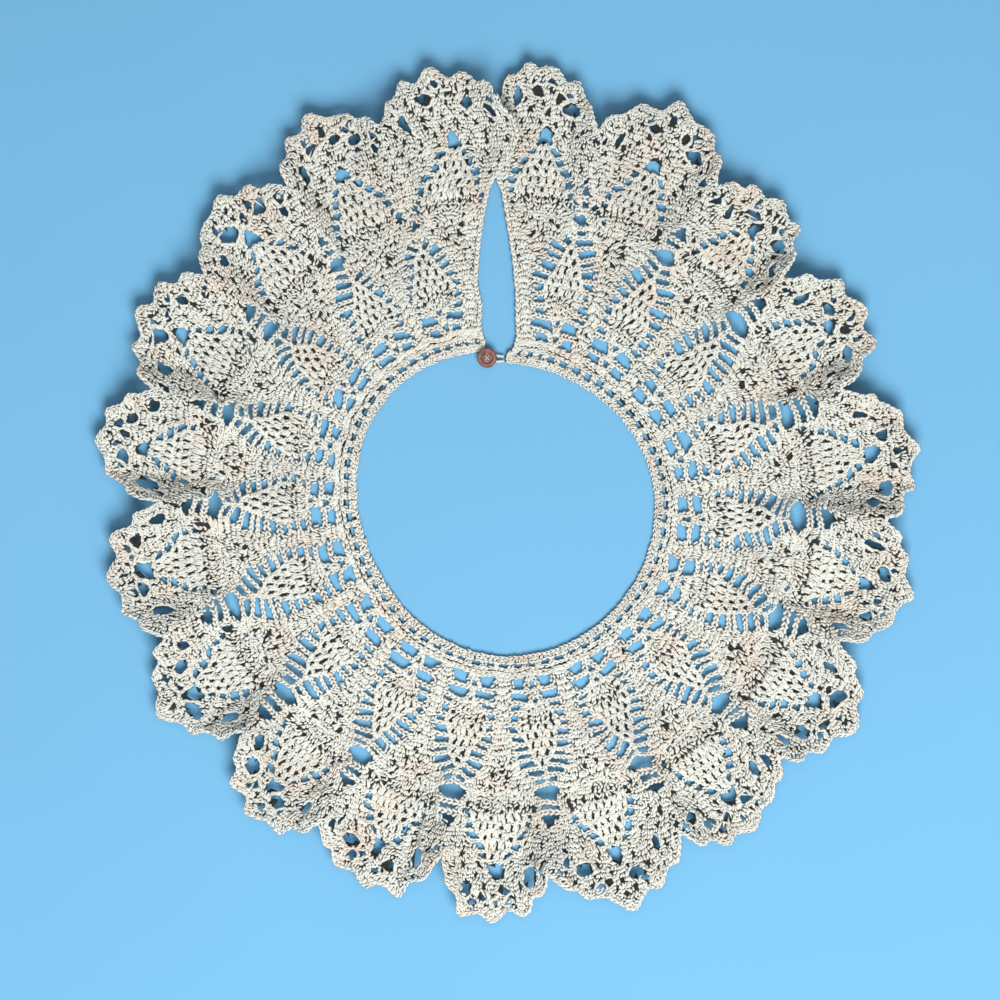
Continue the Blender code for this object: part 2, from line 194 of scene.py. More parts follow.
# Half width of the open gap on a border between two scallops, up to where it closes: radius, half width
SIDE_GAPS = np.array(((117.0, 5.4), (121.6, 5.0), (123.2, 4.4), (125.8, 2.6), (127.8, 3.3), (130.0, 3.2),
                      (132.0, 3.7), (134.2, 3.9), (136.0, 2.8), (138.4, -0.3)))
GAPS_END = 136.0
SCALLOP_ANGLE = 18.7
# The scallop's own leaf and the first stitch of the cloth beside it: radius, half width
INNER_HALF = np.array(((121.6, 2.0), (126.0, 9.4), (130.0, 12.6), (134.2, 14.0), (138.4, 13.0), (142.6, 10.8),
                       (146.8, 7.9), (151.0, 4.3), (155.2, 1.8), (157.5, 0.0), (190.0, 0.0)))
# Half width of the leaf itself, and the radii that its ladder's bars lie between
OWN_HALF = np.array(((121.0, 2.0), (130.0, 10.2), (134.2, 10.2), (138.4, 8.9), (142.6, 6.6), (146.8, 4.2),
                     (151.0, 1.8), (152.0, 0.0)))
OWN_BARS = (134.0, 152.0)
# Width of one shell and of one stitch in a scallop's cloth, and how far inside the rim its tops end
SHELL_WIDE = 7.4
STITCH_WIDE = 1.8
RIM_ROW = 2.6
# Small holes near a scallop's foot: offset from the middle, radius, half sizes across and along
ROOT_HOLES = np.array((
    (0.0, 111.4, 0.9, 0.7), (-2.3, 115.8, 0.6, 0.7), (2.4, 115.6, 0.6, 0.7), (-5.0, 120.2, 1.3, 0.7),
    (-0.2, 121.0, 0.8, 0.6), (4.7, 119.9, 1.3, 0.7), (-7.4, 124.4, 1.4, 1.0), (7.6, 124.2, 1.5, 1.0),
    (-14.6, 129.4, 1.2, 0.8), (14.4, 129.6, 1.2, 0.8), (0.0, 153.8, 1.9, 2.2)))
# Holes inside its rim: place across from -1 to 1, distance from the rim's line, half sizes
RIM_HOLES = np.array((
    (-0.62, -13.0, 1.4, 3.0), (-0.22, -11.0, 2.4, 1.9), (0.2, -10.2, 1.5, 1.3), (0.48, -11.5, 2.1, 1.9),
    (0.74, -13.0, 1.2, 2.0), (-0.3, -6.6, 1.3, 1.1), (0.34, -6.8, 1.3, 1.1), (-0.84, -9.5, 1.0, 1.5),
    (0.84, -7.0, 1.1, 1.3), (0.0, -7.4, 1.1, 1.1)))
SCALLOP_GROUPS = ((0, 5), (5, 10), (10, 15), (15, 19))

# --- Stitches ----------------------------------------------------------------------------------------------

# Strands keep this far inside the opening's edges, as a share of a scallop
EDGE_MARGIN = 0.045
# A hole moves points within this many of its radii, and whole strands by this share of its size
HOLE_REACH = 1.7
WHOLE_SHARE = 0.5
# A post: height of its strands, length of a tier, and the four points of a strand along it and up
CLOTH_MIDDLE = 0.95
TIER = 2.0
GRAIN = np.array((-1.0, -0.42, 0.42, 1.0))
WRAP_RISE = np.array((-0.3, 0.14, 0.14, -0.3))
# The loop across a post's top: its points aside, its width, its points along the post and its height
LOOP_ASIDE = np.array((-1.0, -0.45, 0.4, 1.0))
LOOP_WIDE = 1.15
LOOP_BULGE = np.array((-0.2, 0.2, 0.2, -0.2))
LOOP_LEVEL = 1.3
# One strand of a chain stitch: shares of the pitch, shares of the half width, and heights
CHAIN_SHARES = np.array((-0.3, 0.15, 0.75, 1.25))
CHAIN_ASIDE = np.array((-0.15, 0.4, 1.05, 0.95))
CHAIN_RISE = np.array((0.05, 0.3, 0.12, -0.4))

# --- The inner layer ---------------------------------------------------------------------------------------

# Cells across a scallop, rows in the yoke and rows from there to the rim
GROUND_CELLS = 20
GROUND_ROWS = 28
GROUND_RIM_ROWS = 22
# How far it draws back under the rim, a column, a leaf, the ladder and the gap between scallops
RIM_MARGIN = 1.6
COLUMN_MARGIN = 1.6
LEAF_MARGIN = 0.6
LADDER_MARGIN = 0.6
GAP_MARGIN = 1.3
# A hole's share of its own size in the inner layer
HOLE_IN_GROUND = 1.2
# Radii where the leaves of the yoke, the scallops' gaps, their ladders and the band's holes begin and end
LEAF_BODY = (84.5, 110.5)
GAPS_CLOSE = 137.0
LADDER_ROWS = (131.6, 156.5)
BAND_HOLES = (65.2, 68.6)

# --- The fastening -----------------------------------------------------------------------------------------

# The button's middle, underside, thickness, dished depth and the spacing of its four holes
BUTTON_CENTRE = (-8.2, 55.9)
BUTTON_BASE = 2.2
BUTTON_THICK = 2.0
BUTTON_DISH = 0.6
HOLE_PITCH = 1.9
# The thread's end at the cloth, its gap off the button, the step where it crosses itself, and its place
THREAD_LOW = 0.3
THREAD_CLEAR = 0.35
THREAD_CROSSING = 0.6
THREAD_END = 18.98
# The loop's level, its radius round the button, and its root: radius, way into the band, half way apart
LOOP_HEIGHT = 1.25
LOOP_RADIUS = 2.1
LOOP_ROOT = (64.2, 0.2, 0.9)
# Yarns wound of two plies: ply radius, swing off the route, pitch, step along it, sides
SEWING_THREAD = (0.13, 0.11, 1.1, 0.18, 6)
LOOP_YARN = (0.34, 0.28, 2.2, 0.35, 8)

# --- The stage, in metres ----------------------------------------------------------------------------------

VIEW_CENTRE = (-0.00274, -0.00374)
FLOOR_HALF = 2.0
# Lights aimed at the middle: name, place, size, power, colour
LIGHTS = (("Window", (0.27, -1.02, 1.4), 1.05, 38.0, (1.0, 0.99, 0.97)),
          ("Ceiling", (0.0, 0.2, 1.9), 1.2, 5.5, (1.0, 1.0, 1.0)))
ROOM_LIGHT = (0.86, 0.93, 1.0, 1.0)
ROOM_STRENGTH = 0.2


# --- Tables and places -------------------------------------------------------------------------------------

def smooth(value):
    """A soft step: 0 below 0, 1 above 1, and level at both ends."""
    value = np.clip(value, 0.0, 1.0)
    return value * value * (3.0 - 2.0 * value)


def stacked(*parts):
    """Numbers and arrays spread to one shape and put side by side on a last axis."""
    return np.stack(np.broadcast_arrays(*parts), -1)


def unit(vectors):
    """Vectors of length one."""
    return vectors / np.maximum(np.linalg.norm(vectors, axis=-1, keepdims=True), 1e-9)


def square(along):
    """Directions on the cloth turned square to themselves."""
    return stacked(along[..., 1], -along[..., 0])


def run_length(points):
    """Length along each route at each of its points: the sum of the steps before it."""
    steps = np.linalg.norm(np.diff(points, axis=-2), axis=-1)
    return np.concatenate((np.zeros_like(steps[..., :1]), np.cumsum(steps, axis=-1)), axis=-1)


def evenly(route, step, spare=0):
    """The same route with even steps: its points are read off by their length along it."""
    length = run_length(route)
    at = np.linspace(0.0, length[-1], int(length[-1] / step) + spare)
    return np.stack([np.interp(at, length, values) for values in route.T], -1)


def table(rows, value):
    """Straight interpolation in a two-column table."""
    return np.interp(value, rows[:, 0], rows[:, 1])


def between(stations, value):
    """The station before each value, and the value's share of the way to the next."""
    step = np.clip(np.searchsorted(stations, value, side="right") - 1, 0, len(stations) - 2)
    return step, (value - stations[step]) / (stations[step + 1] - stations[step])


def soft_table(stations, values, value):
    """Interpolation with a soft step between one station and the next."""
    step, share = between(stations, value)
    return values[step] + smooth(share) * (values[step + 1] - values[step])


def border_tables():
    """Bearing and fold lift of every border, one row a border and one column a radius."""
    bearings = [np.interp(RADII, *np.array(RIGHT_EDGE).T)]
    lifts = [np.zeros_like(RADII)]
    for at_band, at_rim, at_notch, notch, lift, start in BORDERS:
        bearings.append(np.interp(RADII, (BAND_OUTER, YOKE_OUTER, notch), (at_band, at_rim, at_notch)))
        lifts.append(lift * smooth((RADII - start) / (notch - start)))
    bearings.append(np.interp(RADII, *np.array(LEFT_EDGE).T))
    lifts.append(LEFT_EDGE_LIFT * smooth((RADII - EDGE_FOLD_START) / (EDGE_NOTCH - EDGE_FOLD_START)))
    return np.array(bearings), np.array(lifts)


def rim_table():
    """Reach of each scallop's rim at the stations across it."""
    notches = (EDGE_NOTCH, *(row[3] for row in BORDERS), EDGE_NOTCH)
    rows = []
    for first, last, (before, tip, after, _) in zip(notches, notches[1:], SCALLOPS):
        rows.append((first, first + SIDE_POINT_SHARE * (before - first), before, tip, after,
                     last + SIDE_POINT_SHARE * (after - last), last))
    return np.array(rows)


BEARINGS, LIFTS = border_tables()
RIMS = rim_table()
CURLS = np.array([row[3] for row in SCALLOPS])


def at_border(grid, border, radius):
    """Value of a border table at border numbers and radii, straight between its columns."""
    step = np.clip((radius - RADII[0]) / (RADII[1] - RADII[0]), 0.0, len(RADII) - 1.001)
    low = step.astype(int)
    share = step - low
    return grid[border, low] * (1.0 - share) + grid[border, low + 1] * share


def leaf_of(place):
    """Number of the scallop that a place lies in."""
    return np.clip(np.floor(place).astype(int), 0, LEAVES - 1)


def bearing(place, radius):
    """Bearing in degrees of a place at a radius: an even share of the way between two borders."""
    leaf = leaf_of(place)
    low = at_border(BEARINGS, leaf, radius)
    high = at_border(BEARINGS, leaf + 1, radius)
    return low + (place - leaf) * (high - low)


def gap(first, second, radius):
    """Length of the arc from one place to another at a radius."""
    return np.radians(bearing(second, radius) - bearing(first, radius)) * radius


def beside(place, offset, radius):
    """The place that lies an arc's length beside another at the same radius."""
    target = bearing(place, radius) + np.degrees(offset / radius)
    leaf = leaf_of(place)
    leaf = leaf + (target > at_border(BEARINGS, leaf + 1, radius))
    leaf = leaf - (target < at_border(BEARINGS, leaf.clip(0, LEAVES - 1), radius))
    leaf = leaf.clip(0, LEAVES - 1)
    low = at_border(BEARINGS, leaf, radius)
    high = at_border(BEARINGS, leaf + 1, radius)
    return leaf + (target - low) / (high - low)


def column_middle(leaf, radius, inset=1.0):
    """Place of a column's middle: half way between two borders, or against an edge of the opening."""
    half = table(COLUMN_HALF, radius) + inset
    first = np.minimum(beside(np.zeros_like(half), half, radius), 0.5)
    last = np.maximum(beside(np.full_like(half, LEAVES), -half, radius), LEAVES - 0.5)
    return np.where(leaf == 0, first, np.where(leaf == LEAVES - 1, last, leaf + 0.5))


def keeping_to(place):
    """Axis that keeps to one place, such as a border or a scallop's middle."""
    return partial(np.full_like, fill_value=float(place))


def keeping_to_each(places):
    """Axis for stitches that each have their own place: strands repeat them in order."""
    def axis(radius):
        repeats = radius.shape[0] // len(places)
        return np.broadcast_to(np.tile(places, repeats)[:, None], radius.shape)
    return axis


def rim_reach(leaf, side):
    """Radius of the rim's line, before its dips, at a side place from -1 to 1 across a scallop."""
    step, share = between(RIM_STATIONS, np.clip(side, -1.0, 1.0))
    return RIMS[leaf, step] * (1.0 - share) + RIMS[leaf, step + 1] * share


def cloth_height(place, radius):
    """Height of the cloth's underside: folds that rise softly towards each border, and a curled tip."""
    leaf = leaf_of(place)
    side = np.clip(2.0 * (place - leaf) - 1.0, -1.0, 1.0)
    fold = np.where(side < 0.0, at_border(LIFTS, leaf, radius), at_border(LIFTS, leaf + 1, radius))
    lift = fold * smooth((np.abs(side) - FOLD_REACH) / (1.0 - FOLD_REACH))
    share = (radius - YOKE_OUTER) / (rim_reach(leaf, side) - YOKE_OUTER)
    curl = CURLS[leaf] * (1.0 - (1.0 - SIDE_CURL) * side * side)
    return lift + curl * smooth((share - CURL_START) / (1.0 - CURL_START))


def neck_shift(angle):
    """How far the neck edge stands out from its mean circle at a bearing in radians."""
    wave = sum(c * np.cos(n * angle) + s * np.sin(n * angle) for n, c, s in NECK_WAVES)
    turned = (np.degrees(angle) + ENDS_MEET) % 360.0 - ENDS_MEET
    left = turned > 180.0
    ends = END_SHIFT * np.exp(-np.where(left, 360.0 - turned, np.abs(turned)) / END_SPREAD)
    return wave + np.where(left, ends, -ends)


def plane_waves(seed, count, shortest, longest, amounts):
    """Plane waves over the tabletop: turns along x and y, phase, and amounts along x, y and z."""
    rng = np.random.default_rng(seed)
    angle = rng.uniform(0.0, TURN, count)
    turns = TURN / rng.uniform(shortest, longest, count)
    phase = rng.uniform(0.0, TURN, count)
    shares = rng.uniform(-1.0, 1.0, (count, 3)) * amounts
    return np.concatenate((stacked(turns * np.cos(angle), turns * np.sin(angle), phase), shares), axis=1)


WAVES = np.concatenate([plane_waves(*row) for row in HAND_WAVES])


def wander(across, along):
    """Unevenness of handwork: a sum of plane waves gives a small step in x, y and z."""
    step = np.zeros((*across.shape, 3))
    for x_turns, y_turns, phase, *amounts in WAVES:
        step += np.sin(across * x_turns + along * y_turns + phase)[..., None] * amounts
    return step


def laid(place, radius, height):
    """Point in metres of a place, a radius and a height above the cloth's underside."""
    place, radius, height = np.broadcast_arrays(place, radius, height)
    angle = np.radians(bearing(place, radius))
    fade = 1.0 - smooth((radius - NECK_RADIUS) / (YOKE_OUTER - NECK_RADIUS))
    shifted = radius + neck_shift(angle) * fade
    across = NECK_CENTRE[0] + shifted * np.sin(angle)
    along = NECK_CENTRE[1] + shifted * np.cos(angle)
    from_edge = np.minimum(place, LEAVES - place) / EDGE_CALM
    calm = smooth((radius - CALM_BAND) / CALM_WIDTH) * smooth(from_edge)
    step = wander(across, along) * calm[..., None]
    up = cloth_height(place, radius) + height + np.maximum(step[..., 2] + WAVE_FLOOR, 0.0)
    return stacked(across + step[..., 0], along + step[..., 1], up) * MM


# --- Yarn --------------------------------------------------------------------------------------------------

class Yarn:
    """Strands of yarn gathered in whole arrays, and made into one mesh at the end."""

    def __init__(self, thick, seed):
        self.thick = thick
        self.margin = EDGE_MARGIN
        self.rng = np.random.default_rng(SEED + seed)
        self.points = []
        self.tones = []
        self.loops = []
        self.starts = []
        self.maps = []
        self.count = 0
        self.corners = 0

    def sweep(self, points, sides=4, thick=1.0):
        """Strands through points in metres, in the shape (strand, point, xyz), each a little uneven.

        A ring of corners stands square to the strand at each inner point. Its two axes are the strand's
        direction crossed with straight up, and that direction crossed with the first axis. Rings join in
        quads, and each end closes in a point.
        """
        strands, stations = points.shape[:2]
        rings = stations - 2
        radius = self.thick * MM * thick * self.rng.uniform(0.88, 1.12, (strands, 1, 1, 1))
        tone = self.rng.normal(0.0, 1.0, strands)
        run = unit(np.gradient(points, axis=1)[:, 1:-1])[:, :, None]
        first = unit(np.cross(run, (0.0, 0.0, 1.0)))
        second = np.cross(run, first)
        side = np.arange(sides)
        angle = TURN * side[:, None] / sides
        ring = points[:, 1:-1, None] + radius * (first * np.cos(angle) + second * np.sin(angle))
        corners = np.concatenate((points[:, :1], ring.reshape(strands, -1, 3), points[:, -1:]), axis=1)

        start = np.arange(strands)[:, None] * (rings * sides + 2) + self.count
        end = start + rings * sides + 1
        turned = (side + 1) % sides
        base = start[:, :, None] + np.arange(rings - 1)[:, None] * sides + 1
        quads = stacked(base + side, base + turned, base + sides + turned, base + sides + side)
        tips = np.stack((stacked(start, start + 1 + turned, start + 1 + side),
                         stacked(end, end - sides + side, end - sides + turned)), 1)

        length = run_length(points) / MM
        near, far = length[:, 1:-2, None], length[:, 2:-1, None]
        low, high = side / sides, (side + 1) / sides
        middle = (low + high) / 2.0
        quad_map = self.corner_map((near, low), (near, high), (far, high), (far, low))
        tip_map = np.stack((
            self.corner_map((length[:, :1], middle), (length[:, 1:2], high), (length[:, 1:2], low)),
            self.corner_map((length[:, -1:], middle), (length[:, -2:-1], low), (length[:, -2:-1], high))), 1)

        self.points.append(corners.reshape(-1, 3))
        self.tones.append(np.repeat(tone, corners.shape[1]))
        for faces, places in ((quads, quad_map), (tips, tip_map)):
            self.loops.append(faces.ravel())
            self.maps.append(places.reshape(-1, 2))
            self.starts.append(self.corners + np.arange(0, faces.size, faces.shape[-1]))
            self.corners += faces.size
        self.count += corners[..., 0].size

    @staticmethod
    def corner_map(*corners):
        """Yarn map of a face: for each corner, its length along the strand and its share of the way round."""
        return np.stack([stacked(along, around) for along, around in corners], -2)

    def lay(self, axis, path, height, thick):
        """Strands given as offsets beside an axis and radii, laid on the cloth at heights above it."""
        radius = path[..., 1]
        place = beside(axis(radius), path[..., 0], radius).clip(self.margin, LEAVES - self.margin)
        self.sweep(laid(place, radius, height), thick=thick)

    def build(self, name, finish):
        """One smooth mesh of all the strands, with the yarn map and the tone of each strand."""
        points = np.concatenate(self.points)
        loops = np.concatenate(self.loops).astype(np.int32)
        starts = np.concatenate(self.starts).astype(np.int32)
        mesh = bpy.data.meshes.new(name)
        mesh.vertices.add(len(points))
        mesh.vertices.foreach_set("co", points.ravel())
        mesh.loops.add(len(loops))
        mesh.loops.foreach_set("vertex_index", loops)
        mesh.polygons.add(len(starts))
        mesh.polygons.foreach_set("loop_start", starts)
        mesh.update(calc_edges=True)
        uv = mesh.uv_layers.new(name="yarn")
        uv.uv.foreach_set("vector", np.concatenate(self.maps).ravel())
        point_values(mesh, "tone", np.concatenate(self.tones))
        return add_piece(name, mesh, finish)


def point_values(mesh, name, values):
    """Gives each point of a mesh a value that a material can read."""
    mesh.attributes.new(name, "FLOAT", "POINT").data.foreach_set("value", values)


def add_piece(name, mesh, finish):
    """Puts a smooth mesh into the scene as a piece that rides on the collar."""
    mesh.shade_smooth()
    mesh.materials.append(finish)
    made = bpy.data.objects.new(name, mesh)
    bpy.context.scene.collection.objects.link(made)
    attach(made, "root")
    return made


def moved_out(points, centre, half_sizes):
    """Points moved out of a hole: distance from its middle grows from 0..HOLE_REACH to 1..HOLE_REACH."""
    step = (points - centre) / half_sizes
    distance = np.maximum(np.linalg.norm(step, axis=-1, keepdims=True), 0.02)
    grown = np.where(distance < HOLE_REACH, 1.0 + distance * (HOLE_REACH - 1.0) / HOLE_REACH, distance)
    return centre + step / distance * grown * half_sizes


def pushed(path, holes):
    """Strands moved out of holes: each one first as a whole, with its middle, and then point by point."""
    for hole in np.asarray(holes):
        middle = path.mean(axis=-2, keepdims=True)
        path = path + moved_out(middle, hole[:2], hole[2:] * WHOLE_SHARE) - middle
        path = moved_out(path, hole[:2], hole[2:])
    return path


def posts(yarn, axis, foot, top, holes=(), spread=0.44, looped=False, thick=1.06):
    """Tall stitches: tiers of two plump strands side by side and aslant, and perhaps a loop on top.

    A strand's middle lies at an even share of the way from foot to top, a step aside; its points lie
    before and behind the middle along the post, turned by the tier's slant. The loop lies across the top.
    """
    rng = yarn.rng
    count = len(foot)
    if count == 0:
        return
    foot = foot + rng.normal(0.0, 0.14, (count, 2))
    top = top + rng.normal(0.0, 0.2, (count, 2))
    rise = top - foot
    tiers = max(1, round(float(np.linalg.norm(rise, axis=1).mean()) / TIER))
    along = unit(rise)
    aside = square(along)
    share = (np.arange(tiers) + 0.5)[:, None, None, None] / tiers
    sides = np.array((-1.0, 1.0))[None, :, None, None]
    shape = (tiers, 2, count, 1)
    slant = rng.choice((-1.0, 1.0, 1.0), (tiers, 1, count, 1)) * rng.uniform(0.2, 0.7, shape)
    middle = foot + rise * share + aside * sides * spread * (0.75 + 0.5 * share)
    middle = middle + rng.normal(0.0, 0.12, (tiers, 2, count, 2))
    reach = rise * rng.uniform(0.52, 0.68, shape) / tiers
    lean = reach + aside * slant * np.linalg.norm(reach, axis=-1, keepdims=True)
    bow = aside * rng.normal(0.0, 0.15, shape)
    path = middle[..., None, :] + lean[..., None, :] * GRAIN[:, None]
    path[..., 1:3, :] += bow[..., None, :]
    path = path.reshape(-1, len(GRAIN), 2)
    over = sides[..., 0] * rng.choice((-0.12, 0.12), (tiers, 1, count))
    over = over + rng.normal(0.0, 0.08, (tiers, 2, count))
    yarn.lay(axis, pushed(path, holes), CLOTH_MIDDLE + WRAP_RISE + over.reshape(-1, 1), thick)
    if looped:
        turned = rng.normal(0.0, 0.5, (count, 1)) * LOOP_ASIDE
        path = (top[:, None] + aside[:, None] * (LOOP_ASIDE * LOOP_WIDE)[:, None]
                + along[:, None] * (LOOP_BULGE + turned)[..., None])
        heights = LOOP_LEVEL + WRAP_RISE + rng.normal(0.0, 0.1, (count, 1))
        yarn.lay(axis, pushed(path, holes), heights, thick)


def chains(yarn, axis, path, pitch=2.0, wide=2.5, level=1.0, thick=1.15):
    """Chain stitches along each path.

    In every stitch two plump strands spring from one point, bow apart to half the width on either side of
    the path, and tuck under the next stitch.
    """
    rng = yarn.rng
    length = run_length(path)[:, -1].mean()
    stitches = max(int(round(length / pitch)), 1)
    at = (np.arange(stitches)[:, None] + CHAIN_SHARES) / stitches * (path.shape[1] - 1)
    low = at.astype(int).clip(0, path.shape[1] - 2)
    share = (at - low)[..., None]
    spine = path[:, low] * (1.0 - share) + path[:, low + 1] * share
    aside = square(unit(path[:, low + 1] - path[:, low]))
    half = wide / 2.0 - yarn.thick * thick
    step = (half * CHAIN_ASIDE * rng.uniform(0.85, 1.15, (*spine.shape[:2], 1)))[..., None] * aside
    pair = np.concatenate((spine + step, spine - step)).reshape(-1, len(CHAIN_SHARES), 2)
    heights = level + CHAIN_RISE + rng.normal(0.0, 0.1, (len(pair), 1))
    yarn.lay(axis, pair + rng.normal(0.0, 0.07, pair.shape), heights, thick)


def shell(centre, foot_radius, top_radius, foot_half, top_half, count, arch):
    """Feet and tops of one fan: feet stand close together, and tops spread evenly on a low arch."""
    place = np.linspace(-1.0, 1.0, count)
    return (stacked(centre + foot_half * place, foot_radius),
            stacked(centre + top_half * place, top_radius - arch * place ** 2))


def curve(points, stations):
    """Smooth path of some stations through a few control points: a Bernstein blend of them."""
    points = np.asarray(points, dtype=float)
    order = points.shape[-2] - 1
    share = np.linspace(0.0, 1.0, stations)[:, None]
    steps = np.arange(order + 1)
    choices = np.array([math.comb(order, step) for step in steps])
    weights = choices * share ** steps * (1.0 - share) ** (order - steps)
    return np.einsum("sk,...kc->...sc", weights, points)


def bar(yarn, axis, points, stations, uneven=0.0, **stitch):
    """A chain along one smooth path through control points, shifted a little as a whole if uneven."""
    path = curve(points, stations)[None]
    if uneven:
        path = path + yarn.rng.normal(0.0, uneven, (1, 1, 2))
    chains(yarn, axis, path, **stitch)


# --- The band and the yoke ---------------------------------------------------------------------------------

def drawn_in(place, radius):
    """How far the band's upper rows lie below their radius: half of one minus the bearing's cosine."""
    return BAND_DRAW * (0.5 - 0.5 * np.cos(np.radians(bearing(place, radius))))


def ring_cord(yarn, radius, pitch, wide, level, thick, draw):
    """A chain all round the collar at one radius, a path of its own for every stitch."""
    count = int(TURN * radius * RING_SHARE / pitch)
    place = (np.arange(count) + 0.5) / count * LEAVES
    uneven = yarn.rng.normal(0.0, 0.16, count)
    radii = radius - draw * drawn_in(place, radius) + uneven
    path = stacked((-pitch / 2.0, pitch / 2.0), radii[:, None])
    chains(yarn, keeping_to_each(place), path, pitch, wide, level, thick)


def ring_fans(yarn, foot, top, pitch, count, foot_half, top_half, draw):
    """Small fans of short stitches all round the collar, one fan for every pitch of arc."""
    fans = int(TURN * (foot + top) / 2.0 * RING_SHARE / pitch)
    place = np.repeat((np.arange(fans) + 0.5) / fans * LEAVES, count)
    share = np.tile(np.linspace(-1.0, 1.0, count), fans)
    tops = stacked(top_half * share, top - draw * drawn_in(place, top))
    posts(yarn, keeping_to_each(place), stacked(foot_half * share, foot), tops, looped=True)


def build_band(sizes, finish):
    """Neck band: an edge cord, short stitches, a row of square holes between posts, and three chains."""
    yarn = Yarn(sizes.strand_radius / MM, 1)
    ring_cord(yarn, *EDGE_CORD)
    for row in BAND_FANS:
        ring_fans(yarn, *row)
    for row in BAND_CORDS:
        ring_cord(yarn, *row)
    return yarn.build("band_stitches", finish)


def build_edges(sizes, finish):
    """Chains down the two edges of the opening, with a slight wave."""
    yarn = Yarn(sizes.strand_radius / MM, 5)
    yarn.margin = 0.0
    radius = np.arange(66.0, EDGE_NOTCH, 0.6)
    wave = 0.2 * np.sin(radius * TURN / 4.3)
    for border, inset in ((0, 1.0), (LEAVES, -1.0)):
        chains(yarn, keeping_to(border), stacked(inset + wave, radius)[None], wide=2.5, level=1.3)
    return yarn.build("opening_edges", finish)


def build_columns(sizes, finish):
    """Columns of shells between the leaves, which widen into the scallops' roots at the yoke's rim."""
    yarn = Yarn(sizes.strand_radius / MM, 2)
    for leaf in range(LEAVES):
        axis = partial(column_middle, leaf)
        for foot, top in zip(YOKE_LINES, YOKE_LINES[1:]):
            foot_half = table(COLUMN_HALF, foot) * 0.3
            half = table(COLUMN_HALF, top)
            count = 6 if half < 6.0 else 8
            posts(yarn, axis, *shell(0.0, foot - 0.8, top + 0.3, foot_half, half * 0.98, count, 1.4))
        holes = scallop_holes(leaf)
        for row in ROOT_SHELLS:
            posts(yarn, axis, *shell(*row, 0.9), holes=holes)
    return yarn.build("yoke_columns", finish)


def net(yarn, axis, rows):
    """Staggered rows of chain loops: each loop arches from foot to foot, with a knot at each foot."""
    for foot, top, count, half in rows:
        wide = 2.0 * half / count
        centre = (np.arange(count) - (count - 1) / 2.0) * wide
        control = [stacked(centre + wide * across, foot + (top - foot) * up) for across, up in NET_LOOP]
        path = curve(np.stack(control, axis=1) + yarn.rng.normal(0.0, 0.25, (count, len(NET_LOOP), 2)), 13)
        chains(yarn, axis, path, pitch=2.05, wide=2.35, thick=1.1)
        edge = (np.arange(count + 1) - count / 2.0) * wide * 0.96
        for shift in (-0.45, 0.45):
            posts(yarn, axis, stacked(edge + shift, foot - 0.8), stacked(edge - shift * 0.4, foot + 1.2),
                  spread=0.45, thick=1.15)


def fan(yarn, axis, foot, top, foot_half, top_half):
    """Base of a leaf: a shell of eight tall stitches, and above it twelve with six slits between them."""
    waist = foot + (top - foot) * 0.46
    waist_half = foot_half + (top_half - foot_half) * 0.72
    posts(yarn, axis, *shell(0.0, foot, waist, foot_half, waist_half, 8, 1.6))
    feet, tops = shell(0.0, waist - 0.5, top, waist_half, top_half, 12, 1.8)
    feet[:, 1] -= 1.2 * np.linspace(-1.0, 1.0, 12) ** 2
    across = np.linspace(-0.76, 0.76, 6)
    slits = stacked(across * top_half, top - 1.9 - 1.8 * across ** 2, 0.62, 1.25)
    posts(yarn, axis, feet, tops, holes=slits, spread=0.28, thick=0.95)


def build_leaves(sizes, finish):
    """Leaves of the yoke: two forked stems, a fan of long stitches and a net that narrows to a tip."""
    yarn = Yarn(sizes.strand_radius / MM, 3)
    for border in range(1, LEAVES):
        axis = keeping_to(border)
        for foot, top, half in STEMS:
            for side in (-1.0, 1.0):
                bar(yarn, axis, ((side * 0.45, foot), (side * 0.5, foot + 2.6), (side * half, top - 2.4),
                                 (side * half, top)), 9, wide=2.8, thick=1.2)
            posts(yarn, axis, *shell(0.0, foot - 0.4, foot + 2.6, 0.6, 0.5, 2, 0.0), looped=True)
        fan(yarn, axis, *LEAF_FAN)
        net(yarn, axis, LEAF_NET)
    return yarn.build("yoke_leaves", finish)


def column_gap(border, leaf, radius):
    """Arc from a border to the middle of a column at a radius."""
    return abs(float(gap(border, column_middle(leaf, radius), radius)))


def build_ladders(sizes, finish):
    """Ladders: chain bars from each leaf to the columns beside it, and across the gap beyond its tip."""
    yarn = Yarn(sizes.strand_radius / MM, 4)
    for border in range(1, LEAVES):
        axis = keeping_to(border)
        for side, leaf in ((-1.0, border - 1), (1.0, border)):
            for radius, inner, rise in LADDER_BARS:
                outer = column_gap(border, leaf, radius) - table(COLUMN_HALF, radius) * 0.75
                start = table(LEAF_HALF, radius + rise) * 0.8 if inner is None else inner
                bar(yarn, axis, ((side * start, radius + rise), (side * (start + outer) / 2.0, radius - 0.4),
                                 (side * outer, radius)), 13, uneven=0.2, wide=2.9, thick=1.25)
            for radius, meet, start in TIP_BARS:
                outer = column_gap(border, leaf, radius) - table(COLUMN_HALF, radius) * 0.8
                bar(yarn, axis, ((side * start, meet),
                                 (side * (start + outer) / 2.0, (meet + radius) / 2.0 - 0.4),
                                 (side * outer, radius)), 15, uneven=0.15)
        bar(yarn, axis, TIP_STEM, 11)
        for radius, sag in GAP_BARS:
            left, right = (column_gap(border, leaf, radius) - side_outer(radius) + 1.9
                           for leaf in (border - 1, border))
            bar(yarn, axis, ((-left, radius + 0.5), (0.0, radius + sag), (right, radius + 0.5)), 13,
                wide=3.4, thick=1.35)
    return yarn.build("yoke_ladders", finish)


# --- The scallops ------------------------------------------------------------------------------------------

def side_outer(radius):
    """Half width of the cloth round a scallop's middle, up to the open gap on each border."""
    return radius * math.radians(SCALLOP_ANGLE) / 2.0 - table(SIDE_GAPS, radius)


